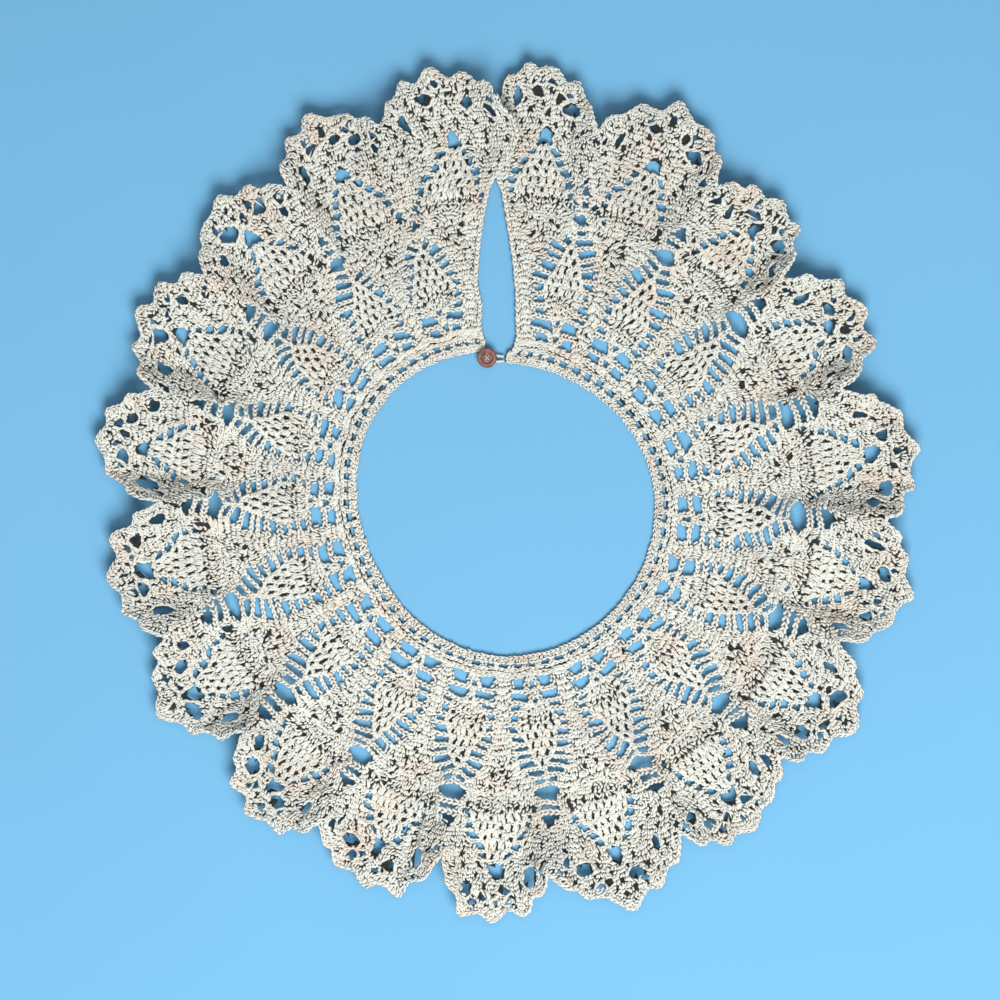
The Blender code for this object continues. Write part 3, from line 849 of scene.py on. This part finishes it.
def scallop_half(leaf, radius):
    """Half the arc between a scallop's two borders at a radius."""
    return gap(leaf, leaf + 1, radius) / 2.0


def scallop_holes(leaf):
    """Small holes round a scallop's leaf and inside its rim: offset from the middle, radius, half sizes."""
    rng = np.random.default_rng(SEED + 100 + leaf)
    radius = rim_reach(leaf, RIM_HOLES[:, 0]) + RIM_HOLES[:, 1]
    in_rim = stacked(RIM_HOLES[:, 0] * scallop_half(leaf, radius), radius)
    places = np.concatenate((ROOT_HOLES[:, :2], in_rim))
    places = places + rng.normal(0.0, 0.6, places.shape)
    sizes = np.concatenate((ROOT_HOLES, RIM_HOLES))[:, 2:] * rng.uniform(0.9, 1.45, (len(places), 1))
    return np.concatenate((places, sizes), axis=1)


def build_scallop(yarn, leaf):
    """One scallop: its own leaf in the middle, cloth of small shells on both sides, and a pointed rim."""
    axis = keeping_to(leaf + 0.5)
    holes = scallop_holes(leaf)
    fan(yarn, axis, *SCALLOP_FAN)
    net(yarn, axis, SCALLOP_NET)
    for row, (foot, top) in enumerate(zip(SCALLOP_LINES, SCALLOP_LINES[1:])):
        lines = np.array((foot, top))
        half = scallop_half(leaf, lines)
        outer_foot, outer_top = np.where(lines < GAPS_END, np.minimum(side_outer(lines), half), half)
        inner_foot, inner_top = table(INNER_HALF, lines)
        wide = outer_top - inner_top
        shells = max(1, round(wide / SHELL_WIDE))
        each = max(3, round(wide / shells / STITCH_WIDE))
        share = (np.arange(shells * each) + 0.5) / (shells * each)
        stagger = 0.5 * (row % 2)
        middle = (np.floor(share * shells + stagger) + 0.5 - stagger) / shells
        for side in (-1.0, 1.0):
            pull = yarn.rng.uniform(0.35, 0.75, share.size)
            share_foot = (middle + (share - middle) * pull).clip(0.02, 0.98)
            arch = 0.8 * ((share - middle) * shells * 2.0) ** 2
            tops = stacked(side * (inner_top + share * wide), top + 0.3 - arch)
            feet = stacked(side * (inner_foot + share_foot * (outer_foot - inner_foot)), foot - 0.7)
            keep = tops[:, 1] < rim_reach(leaf, tops[:, 0] / half[1]) - RIM_ROW
            posts(yarn, axis, feet[keep], tops[keep], holes=holes)
        if OWN_BARS[0] < top < OWN_BARS[1]:
            own = table(OWN_HALF, top) - 0.4
            for side in (-1.0, 1.0):
                bar(yarn, axis, ((side * own, top - 1.2), (side * (own + inner_top) / 2.0, top - 1.0),
                                 (side * (inner_top + 0.8), top)), 9, wide=2.3, thick=1.0)
    build_rim(yarn, leaf, axis)


def rim_line(leaf, side):
    """Offset and radius of a scallop's rim, points and dips included, at side places from -1 to 1."""
    reach = soft_table(RIM_STATIONS, RIMS[leaf], side) * 0.4 + rim_reach(leaf, side) * 0.6
    radius = reach - soft_table(DIPS[:, 0], DIPS[:, 1], side)
    return stacked(side * scallop_half(leaf, radius), radius)


def build_rim(yarn, leaf, axis):
    """The rim's last row: stitches square to the outline, and a chain along it."""
    outline = rim_line(leaf, np.linspace(-1.0, 1.0, 400))
    line = evenly(outline, 2.0)
    along = unit(np.gradient(line, axis=0))
    along = unit(along + np.roll(along, 1, 0) * 0.5 + np.roll(along, -1, 0) * 0.5)
    inward = square(along)
    deep = yarn.rng.uniform(3.6, 4.8, (len(line), 1))
    posts(yarn, axis, line + inward * deep, line + inward * 0.7, looped=True)
    chains(yarn, axis, evenly(outline, 0.62)[None], pitch=2.2, wide=2.0, thick=0.95)


def build_scallops(number, sizes, finish):
    """A group of neighbouring scallops as one piece."""
    yarn = Yarn(sizes.strand_radius / MM, 10 + number)
    for leaf in range(*SCALLOP_GROUPS[number - 1]):
        build_scallop(yarn, leaf)
    return yarn.build(f"scallop_stitches_{number}", finish)


# --- The inner layer ---------------------------------------------------------------------------------------

def ground_open(place, radius):
    """True where the lace is open: ladders, gaps beside the stems and between scallops, small holes."""
    leaf = leaf_of(place)
    from_leaf = np.abs(gap(np.clip(np.round(place), 1, LEAVES - 1), place, radius))
    from_column = np.abs(gap(column_middle(leaf, radius, 0.0), place, radius))
    in_body = (radius >= LEAF_BODY[0]) & (radius <= LEAF_BODY[1])
    leaf_wide = np.where(in_body, table(LEAF_HALF, radius) - LEAF_MARGIN, 0.0)
    open_yoke = (from_leaf > leaf_wide) & (from_column > table(COLUMN_HALF, radius) - COLUMN_MARGIN)

    from_middle = gap(leaf + 0.5, place, radius)
    across = np.abs(from_middle)
    half = gap(leaf, place, radius) - from_middle
    open_scallop = (radius < GAPS_CLOSE) & (across > half - table(SIDE_GAPS, radius) - GAP_MARGIN)
    ladder = (radius > LADDER_ROWS[0]) & (radius < LADDER_ROWS[1]) & (across > table(OWN_HALF, radius))
    open_scallop |= ladder & (across < table(INNER_HALF, radius) + LADDER_MARGIN)
    for scallop in range(LEAVES):
        for hole_across, hole_radius, half_across, half_along in scallop_holes(scallop):
            away = np.hypot((from_middle - hole_across) / half_across, (radius - hole_radius) / half_along)
            open_scallop |= (away < HOLE_IN_GROUND) & (leaf == scallop)
    open_band = (radius > BAND_HOLES[0]) & (radius < BAND_HOLES[1] - drawn_in(place, radius))
    return np.where(radius < SCALLOP_FOOT, (open_yoke & (radius > BAND_OUTER)) | open_band, open_scallop)


def build_ground(sizes, finish):
    """The cloth's inner layer: a thin closed shell under the stitches, on the same surface, with painted
    shade on its upper face.

    Rows run at even radii through the yoke, and then at even shares of the way to each scallop's rim.
    Cells over open lace are left out; the rest get a lower and an upper face, and a wall where they end.
    """
    place = np.arange(LEAVES * GROUND_CELLS + 1) / GROUND_CELLS
    leaf = leaf_of(place)
    side = 2.0 * (place - leaf) - 1.0
    inner = np.linspace(NECK_RADIUS + 0.6, YOKE_OUTER, GROUND_ROWS + 1)
    share = np.linspace(0.0, 1.0, GROUND_RIM_ROWS + 1)[1:]
    rim = rim_reach(leaf, side) - soft_table(DIPS[:, 0], DIPS[:, 1], side) - RIM_MARGIN
    outer = YOKE_OUTER + share[:, None] * (rim - YOKE_OUTER)
    radius = np.concatenate((np.broadcast_to(inner[:, None], (len(inner), len(place))), outer))
    places = np.broadcast_to(place, radius.shape)
    middle_place, middle_radius = ((grid[1:, 1:] + grid[:-1, :-1]) / 2.0 for grid in (places, radius))
    solid = without_corner_touches(~ground_open(middle_place, middle_radius))
    low = laid(places, radius, sizes.ground_height / MM)
    high = laid(places, radius, (sizes.ground_height + sizes.ground_thick) / MM)
    return add_piece("lace_ground_painted_shade", shell_mesh("lace_ground_painted_shade", low, high, solid), finish)


def without_corner_touches(solid):
    """Fills one cell wherever two cells meet at a corner only, until none do."""
    solid = solid.copy()
    for _ in range(12):
        a, b, c, d = solid[:-1, :-1], solid[:-1, 1:], solid[1:, :-1], solid[1:, 1:]
        falling = a & d & ~b & ~c
        rising = b & c & ~a & ~d
        if not (falling.any() or rising.any()):
            break
        solid[:-1, 1:] |= falling
        solid[:-1, :-1] |= rising
    return solid


def shell_mesh(name, low, high, solid):
    """Closed shell from two grids of points and a mask of cells; its points know if they are above."""
    rows, columns = low.shape[:2]
    above = rows * columns
    number = np.arange(above).reshape(rows, columns)
    a, b, c, d = number[:-1, :-1], number[:-1, 1:], number[1:, 1:], number[1:, :-1]
    faces = [stacked(a[solid], b[solid], c[solid], d[solid]),
             stacked(a[solid], d[solid], c[solid], b[solid]) + above]
    padded = np.pad(solid, 1)
    walls = ((padded[:-2, 1:-1], a, b), (padded[1:-1, 2:], b, c),
             (padded[2:, 1:-1], c, d), (padded[1:-1, :-2], d, a))
    for neighbour, first, second in walls:
        edge = solid & ~neighbour
        one, two = first[edge], second[edge]
        faces.append(stacked(two, one, one + above, two + above))
    points = np.concatenate((low.reshape(-1, 3), high.reshape(-1, 3)))
    used, faces = np.unique(np.concatenate(faces), return_inverse=True)
    mesh = bpy.data.meshes.new(name)
    mesh.from_pydata(points[used], [], faces.reshape(-1, 4))
    point_values(mesh, "upper", (used >= above).astype(np.float32))
    return mesh


# --- The fastening -----------------------------------------------------------------------------------------

def rounded(corners, turn, steps):
    """Route through corners, each inner corner turned on a small even curve."""
    corners = np.asarray(corners, dtype=float)
    route = [corners[:1]]
    for before, here, after in zip(corners, corners[1:], corners[2:]):
        cut_in = min(turn / np.linalg.norm(here - before), 0.45)
        cut_out = min(turn / np.linalg.norm(after - here), 0.45)
        route.append(curve((here + (before - here) * cut_in, here, here + (after - here) * cut_out), steps))
    route.append(corners[-1:])
    return np.concatenate(route)


def build_wound(name, finish, seed, route, ply_radius, swing, pitch, step, sides):
    """Two plies wound round a route in space: each stands off it by swing, at an angle growing evenly."""
    yarn = Yarn(ply_radius, seed)
    route = evenly(route, step, spare=2)
    run = unit(np.gradient(route, axis=0))
    first = unit(np.cross(run, (0.3, 0.2, 0.93)))
    second = np.cross(run, first)
    for half_turn in (0.0, 0.5):
        angle = (TURN * (run_length(route) / pitch + half_turn))[:, None]
        line = route + swing * (first * np.cos(angle) + second * np.sin(angle))
        yarn.sweep(line[None] * MM, sides)
    return yarn.build(name, finish)


def thread_route():
    """Up and down through the button's four holes, crossing on top, then off to the band."""
    left, right = (BUTTON_CENTRE[0] + side * HOLE_PITCH / 2.0 for side in (-1.0, 1.0))
    near, far = (BUTTON_CENTRE[1] + side * HOLE_PITCH / 2.0 for side in (-1.0, 1.0))
    under = BUTTON_BASE - THREAD_CLEAR
    first = BUTTON_BASE + BUTTON_THICK - BUTTON_DISH + THREAD_CLEAR
    second = first + THREAD_CROSSING
    band_y = laid(THREAD_END, NECK_RADIUS, 0.0)[1] / MM
    return rounded((
        (left, near, under), (left, near, first), (right, far, first), (right, far, under),
        (right, near, under), (right, near, second), (left, far, second), (left, far, THREAD_LOW),
        (left, band_y, THREAD_LOW)), 0.5, 5)


def loop_route():
    """Out of the band's right end, round behind the button on a circle, and back."""
    radius, back, apart = LOOP_ROOT
    end_x, end_y, _ = laid(0.0, radius, 0.0) / MM
    angle = np.radians(np.linspace(40.0, -220.0, 20))
    arc = stacked(BUTTON_CENTRE[0] + LOOP_RADIUS * np.sin(angle),
                  BUTTON_CENTRE[1] + LOOP_RADIUS * np.cos(angle), LOOP_HEIGHT)
    return np.concatenate((((end_x - back, end_y + apart, LOOP_HEIGHT),), arc,
                           ((end_x - back, end_y - apart, LOOP_HEIGHT),)))


# --- Materials ---------------------------------------------------------------------------------------------

def feed(tree, node, inputs):
    """Gives a node its inputs by name or number: a socket is joined to it, a plain value is set on it."""
    for name, value in inputs.items():
        if isinstance(value, bpy.types.NodeSocket):
            tree.links.new(value, node.inputs[name])
        else:
            node.inputs[name].default_value = value


def add_node(tree, kind, inputs, **choices):
    """A shader node with its choices made and its inputs given."""
    node = tree.nodes.new(f"ShaderNode{kind}")
    for name, value in choices.items():
        setattr(node, name, value)
    feed(tree, node, inputs)
    return node


def maths(tree, operation, *values):
    """Result of a sum of linked or plain values."""
    return add_node(tree, "Math", dict(enumerate(values)), operation=operation).outputs[0]


def spread(tree, value, low, high, to_low=0.0, to_high=1.0, step="LINEAR"):
    """A value spread from one pair of levels to another."""
    inputs = {"Value": value, "From Min": low, "From Max": high, "To Min": to_low, "To Max": to_high}
    return add_node(tree, "MapRange", inputs, interpolation_type=step).outputs["Result"]


def mixed(tree, factor, first, second):
    """Colour mix of two colours or sockets by a factor socket."""
    pair = [value if isinstance(value, bpy.types.NodeSocket) else (*value, 1.0) for value in (first, second)]
    return add_node(tree, "Mix", {"Factor": factor, "A": pair[0], "B": pair[1]},
                    data_type="RGBA").outputs["Result"]


def darker(colour, share):
    """A share of a colour."""
    return tuple(value * share for value in colour)


def on_piece(tree):
    """Object coordinates, which keep still on the piece."""
    return add_node(tree, "TexCoord", {}).outputs["Object"]


def point_value(tree, name):
    """A value that the mesh's points carry."""
    return add_node(tree, "Attribute", {}, attribute_name=name).outputs["Fac"]


def noise_mask(tree, scale, low, high, detail=2.0):
    """Soft patches in object space: noise spread between two levels."""
    noise = add_node(tree, "TexNoise", {"Scale": scale, "Detail": detail, "Vector": on_piece(tree)})
    return spread(tree, noise.outputs[0], low, high)


def relief(tree, height, strength, distance):
    """Normals of a surface raised by a height."""
    return add_node(tree, "Bump", {"Strength": strength, "Distance": distance, "Height": height}).outputs[0]


def new_material(name):
    """A material, its node tree and its shader."""
    made = bpy.data.materials.new(name)
    made.use_nodes = True
    return made, made.node_tree, made.node_tree.nodes["Principled BSDF"]


def ply_group():
    """Node group: height of the plies twisted into a strand, its loose fibres, and its crown.

    The ply height is the sine of the way round the strand plus the way along it over the twist's pitch.
    The crown is 1 on top of the strand and 0 underneath: half of one plus the cosine of the way round. The
    yarn's material paints shade by it on the flanks and underside.
    """
    group = bpy.data.node_groups.new("Twisted plies", "ShaderNodeTree")
    sockets = group.interface
    for name, default in (("Pitch", 1.6), ("Plies", 3.0), ("Fibre scale", 2600.0)):
        socket = sockets.new_socket(name, in_out="INPUT", socket_type="NodeSocketFloat")
        socket.default_value = default
    for name in ("Height", "Fibre", "Crown"):
        sockets.new_socket(name, in_out="OUTPUT", socket_type="NodeSocketFloat")
    inside = group.nodes.new("NodeGroupInput").outputs
    uv = add_node(group, "UVMap", {}, uv_map="yarn")
    split = add_node(group, "SeparateXYZ", {0: uv.outputs[0]})
    along = maths(group, "DIVIDE", split.outputs[0], inside["Pitch"])
    around = maths(group, "MULTIPLY", split.outputs[1], inside["Plies"])
    turn = maths(group, "MULTIPLY", maths(group, "ADD", along, around), TURN)
    aloft = maths(group, "MULTIPLY", maths(group, "SUBTRACT", split.outputs[1], 0.75), TURN)
    noise = add_node(group, "TexNoise", {"Detail": 3.0, "Vector": on_piece(group),
                                         "Scale": inside["Fibre scale"]})
    feed(group, group.nodes.new("NodeGroupOutput"), {
        "Height": maths(group, "MULTIPLY_ADD", maths(group, "SINE", turn), 0.5, 0.5),
        "Fibre": noise.outputs[0],
        "Crown": maths(group, "MULTIPLY_ADD", maths(group, "COSINE", aloft), 0.5, 0.5)})
    return group


def yarn_material(name, colours, pitch, fibre_scale, bump):
    """Spun yarn: paler, duller and warmer strands, soft and matt, with painted shade in the grooves between
    its plies and on each strand's flanks and underside.
    """
    made, tree, shader = new_material(name)
    light, base, dull, warm, deep = colours
    plies = bpy.data.node_groups.get("Twisted plies") or ply_group()
    strand = add_node(tree, "Group", {}, node_tree=plies)
    feed(tree, strand, {"Pitch": pitch, "Fibre scale": fibre_scale})
    strand = strand.outputs
    by_strand = mixed(tree, spread(tree, point_value(tree, "tone"), -2.0, 2.0), base, light)
    by_patch = mixed(tree, noise_mask(tree, 26.0, 0.5, 0.85), by_strand, dull)
    by_patch = mixed(tree, noise_mask(tree, 55.0, 0.48, 0.8), by_patch, warm)
    # Painted shade: the grooves between the plies go up to 0.3 of the way to the groove colour.
    groove_shaded = mixed(tree, spread(tree, strand["Height"], 0.0, 0.45, 0.3, 0.0), by_patch, deep)
    # Painted shade: where the crown is low, on a strand's flanks and underside, the colour goes most of the
    # way to a quarter of the groove colour, whatever the light.
    flank_shade_mask = spread(tree, strand["Crown"], 0.45, 0.85, 0.9, 0.0, "SMOOTHSTEP")
    height = maths(tree, "ADD", strand["Height"], maths(tree, "MULTIPLY", strand["Fibre"], 0.6))
    feed(tree, shader, {
        "Base Color": mixed(tree, flank_shade_mask, groove_shaded, darker(deep, 0.25)),
        "Normal": relief(tree, height, 0.6, bump), "Roughness": 0.92, "Specular IOR Level": 0.25,
        "Sheen Weight": 0.15, "Sheen Roughness": 0.5})
    return made


def ground_material(colour, under):
    """The cloth's inner layer: painted shade, near-black and mottled, on its upper face between the stitches,
    and pale knots of yarn below, darker between the knots.
    """
    made, tree, shader = new_material("Yarn in shade")
    # Painted shade: the upper face is mottled between 0.45 of the shade colour and all of it.
    shaded = mixed(tree, noise_mask(tree, 900.0, 0.3, 0.7), darker(colour, 0.45), colour)
    knots = add_node(tree, "TexVoronoi", {"Scale": 430.0, "Vector": on_piece(tree)})
    raised = spread(tree, knots.outputs["Distance"], 0.75, 0.25)
    pale = mixed(tree, raised, darker(under, 0.3), under)
    height = maths(tree, "ADD", raised, noise_mask(tree, 1500.0, 0.2, 0.8))
    # The upper face takes the painted shade, and the lower face the pale knots.
    feed(tree, shader, {"Base Color": mixed(tree, point_value(tree, "upper"), pale, shaded),
                        "Normal": relief(tree, height, 0.6, 0.0006), "Roughness": 0.95})
    return made


def button_material(light, dark):
    """Horn-like moulded plastic: mottled reddish brown, with clearer swirls, and glossy."""
    made, tree, shader = new_material("Brown button plastic")
    swirl = noise_mask(tree, 420.0, 0.35, 0.65, 4.0)
    roughness = spread(tree, noise_mask(tree, 1600.0, 0.3, 0.7), 0.0, 1.0, 0.16, 0.34)
    feed(tree, shader, {"Base Color": mixed(tree, swirl, dark, light), "Roughness": roughness,
                        "Normal": relief(tree, swirl, 0.15, 0.0001), "Coat Weight": 0.4})
    return made


def floor_material(colour):
    """Plain pale tabletop with the faintest unevenness."""
    made, tree, shader = new_material("Pale tabletop")
    patches = mixed(tree, noise_mask(tree, 6.0, 0.3, 0.7), darker(colour, 0.97), colour)
    feed(tree, shader, {"Base Color": patches, "Roughness": 0.7, "Specular IOR Level": 0.2})
    return made


# --- Settings ----------------------------------------------------------------------------------------------

def colour_property(name, description, default):
    """A colour setting."""
    return bpy.props.FloatVectorProperty(name=name, description=description, default=default, size=3,
                                         min=0.0, max=1.0, subtype="COLOR")


def length_property(name, description, default, low, high):
    """A length setting in metres."""
    return bpy.props.FloatProperty(name=name, description=description, default=default, min=low, max=high,
                                   precision=5, unit="LENGTH")


class CollarYarnSettings(bpy.types.PropertyGroup):
    """Sizes and colours of the yarn."""

    strand_radius: length_property("Strand radius", "Half the thickness of one strand of yarn",
                                   0.53 * MM, 0.1 * MM, 1.0 * MM)
    ground_height: length_property("Ground height", "Height of the inner layer above the cloth's underside",
                                   0.3 * MM, 0.0, 2.0 * MM)
    ground_thick: length_property("Ground thickness", "Thickness of the inner layer",
                                  0.3 * MM, 0.1 * MM, 1.0 * MM)
    light: colour_property("Light strands", "The palest strands of the yarn", (0.86, 0.88, 0.82))
    base: colour_property("Base strands", "Most strands of the yarn", (0.71, 0.72, 0.655))
    dull: colour_property("Dull patches", "Patches where the yarn is greyer", (0.62, 0.64, 0.61))
    warm: colour_property("Warm patches", "Patches where the yarn is warmer", (0.80, 0.69, 0.59))
    # Painted shade: this colour darkens the grooves between the plies, and a quarter of it darkens each
    # strand's flanks and underside.
    deep: colour_property("Grooves", "Yarn between its plies", (0.50, 0.45, 0.38))
    # Painted shade: near-black on the inner layer's upper face, standing in for the shade deep in the cloth
    # between the stitches.
    shade: colour_property("Inner layer", "Yarn deep in the cloth", (0.025, 0.034, 0.034))


class CollarFasteningSettings(bpy.types.PropertyGroup):
    """Colours of the button and its thread."""

    button_light: colour_property("Button, light", "Clearer parts of the button", (0.30, 0.125, 0.10))
    button_dark: colour_property("Button, dark", "Darker swirls of the button", (0.12, 0.04, 0.035))
    thread: colour_property("Sewing thread", "Thread through the button", (0.72, 0.64, 0.52))


class CollarStageSettings(bpy.types.PropertyGroup):
    """The stage round the collar."""

    floor: colour_property("Floor", "Colour of the tabletop", (0.18, 0.47, 0.74))
    view_width: length_property("View width", "Width of tabletop that the camera sees", 0.42, 0.1, 2.0)
    camera_height: length_property("Camera height", "Height of the camera above the table", 2.4, 0.5, 10.0)


# --- Operators ---------------------------------------------------------------------------------------------

def cotton(settings):
    """The collar's yarn as a material, made once."""
    colours = (settings.light, settings.base, settings.dull, settings.warm, settings.deep)
    return bpy.data.materials.get("Ecru cotton yarn") or yarn_material("Ecru cotton yarn", colours, 1.7,
                                                                       2600.0, 0.00012)


def crochet(context, *builders):
    """Makes pieces of the collar's yarn with their builders."""
    settings = context.scene.collar_yarn
    for build in builders:
        build(settings, cotton(settings))
    return {"FINISHED"}


class COLLAR_OT_ground(bpy.types.Operator):
    """Lays the cloth's inner layer"""

    bl_idname = "collar.ground"
    bl_label = "Lace ground"

    def execute(self, context):
        settings = context.scene.collar_yarn
        piece = build_ground(settings, ground_material(settings.shade, settings.base))
        scallops = [f"scallop_{leaf + 1:02d}" for leaf in range(LEAVES)]
        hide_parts("neck_band", "lace_yoke", *scallops)
        return {"FINISHED"}


class COLLAR_OT_band(bpy.types.Operator):
    """Crochets the neck band and the edges of the opening"""

    bl_idname = "collar.band"
    bl_label = "Neck band"

    def execute(self, context):
        return crochet(context, build_band, build_edges)


class COLLAR_OT_yoke(bpy.types.Operator):
    """Crochets the yoke's columns, leaves and ladders"""

    bl_idname = "collar.yoke"
    bl_label = "Yoke"

    def execute(self, context):
        return crochet(context, build_columns, build_leaves, build_ladders)


class COLLAR_OT_scallops(bpy.types.Operator):
    """Crochets the nineteen scallops and their pointed rims"""

    bl_idname = "collar.scallops"
    bl_label = "Scallops"

    def execute(self, context):
        return crochet(context, *(partial(build_scallops, group + 1) for group in range(len(SCALLOP_GROUPS))))


class COLLAR_OT_fastening(bpy.types.Operator):
    """Sews on the button and makes its loop"""

    bl_idname = "collar.fastening"
    bl_label = "Button and loop"

    def execute(self, context):
        colours = context.scene.collar_fastening
        pale = tuple(min(1.0, value * 1.15) for value in colours.thread)
        dull = darker(colours.thread, 0.8)
        # Painted shade: the thread's last colour, a fifth darker, darkens its ply grooves, and a quarter of
        # it darkens its flanks and underside; the same darker colour also gives its duller patches.
        sewing = yarn_material("Sewing thread", (pale, colours.thread, dull, colours.thread, dull), 0.6,
                               6000.0, 0.00004)
        thread = build_wound("button_stitching", sewing, 6, thread_route(), *SEWING_THREAD)
        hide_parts("button_thread")
        loop = build_wound("button_loop_yarn", cotton(context.scene.collar_yarn), 7, loop_route(), *LOOP_YARN)
        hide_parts("button_loop")
        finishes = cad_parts["button"].data.materials
        finishes.clear()
        finishes.append(button_material(colours.button_light, colours.button_dark))
        return {"FINISHED"}


class COLLAR_OT_stage(bpy.types.Operator):
    """Sets the tabletop, the lights and the camera"""

    bl_idname = "collar.stage"
    bl_label = "Stage"

    def execute(self, context):
        settings = context.scene.collar_stage
        lay_floor(context.scene, settings.floor)
        hang_lights(context.scene)
        set_camera(context.scene, settings.camera_height, settings.view_width)
        return {"FINISHED"}


def lay_floor(scene, colour):
    """The tabletop: one square about the middle."""
    half = FLOOR_HALF
    mesh = bpy.data.meshes.new("tabletop")
    mesh.from_pydata(((-half, -half, 0.0), (half, -half, 0.0), (half, half, 0.0), (-half, half, 0.0)), [],
                     ((0, 1, 2, 3),))
    mesh.materials.append(floor_material(colour))
    floor = bpy.data.objects.new("tabletop", mesh)
    scene.collection.objects.link(floor)


def hang_lights(scene):
    """Soft square lights aimed at the middle of the table, and the room's own light."""
    for name, place, size, power, colour in LIGHTS:
        lamp = bpy.data.lights.new(name, "AREA")
        lamp.shape = "SQUARE"
        lamp.size = size
        lamp.energy = power
        lamp.color = colour
        hung = bpy.data.objects.new(name, lamp)
        hung.location = place
        hung.rotation_euler = (-Vector(place)).to_track_quat("-Z", "Y").to_euler()
        scene.collection.objects.link(hung)
    scene.world = bpy.data.worlds.new("Room")
    scene.world.use_nodes = True
    feed(scene.world.node_tree, scene.world.node_tree.nodes["Background"],
         {"Color": ROOM_LIGHT, "Strength": ROOM_STRENGTH})


def set_camera(scene, height, width):
    """The camera straight above, with the lens that sees the given width of tabletop from its height."""
    lens = bpy.data.cameras.new("Camera")
    lens.sensor_width = 36.0
    lens.lens = lens.sensor_width * height / width
    lens.clip_end = 20.0
    camera = bpy.data.objects.new("Camera", lens)
    camera.location = (*VIEW_CENTRE, height)
    scene.collection.objects.link(camera)
    scene.camera = camera
    scene.view_settings.view_transform = "Standard"


# --- Panel and registration --------------------------------------------------------------------------------

class COLLAR_PT_panel(bpy.types.Panel):
    """Lists the collar's pieces and settings"""

    bl_idname = "COLLAR_PT_panel"
    bl_label = "Lace collar"
    bl_space_type = "VIEW_3D"
    bl_region_type = "UI"
    bl_category = "Collar"

    def draw(self, context):
        for operator in OPERATORS:
            self.layout.operator(operator.bl_idname)
        for owner, group in SETTINGS:
            for name in group.__annotations__:
                self.layout.prop(getattr(context.scene, owner), name)


OPERATORS = (COLLAR_OT_ground, COLLAR_OT_band, COLLAR_OT_yoke, COLLAR_OT_scallops, COLLAR_OT_fastening,
             COLLAR_OT_stage)
SETTINGS = (("collar_yarn", CollarYarnSettings), ("collar_fastening", CollarFasteningSettings),
            ("collar_stage", CollarStageSettings))


def register():
    """Registers the settings, operators and panel."""
    for name, group in SETTINGS:
        bpy.utils.register_class(group)
        setattr(bpy.types.Scene, name, bpy.props.PointerProperty(type=group))
    for item in (*OPERATORS, COLLAR_PT_panel):
        bpy.utils.register_class(item)


def unregister():
    """Takes them away again."""
    for item in (COLLAR_PT_panel, *reversed(OPERATORS)):
        bpy.utils.unregister_class(item)
    for name, group in reversed(SETTINGS):
        delattr(bpy.types.Scene, name)
        bpy.utils.unregister_class(group)


def declare_cloth():
    pieces = ["band_stitches", "opening_edges", "yoke_columns", "yoke_leaves", "yoke_ladders"]
    pieces += [f"scallop_stitches_{group + 1}" for group in range(len(SCALLOP_GROUPS))]


def main():
    """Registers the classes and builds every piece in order."""
    register()
    for operator in (bpy.ops.collar.ground, bpy.ops.collar.band, bpy.ops.collar.yoke,
                     bpy.ops.collar.scallops, bpy.ops.collar.fastening, bpy.ops.collar.stage):
        operator()
    declare_cloth()


if __name__ == "__main__":
    main()
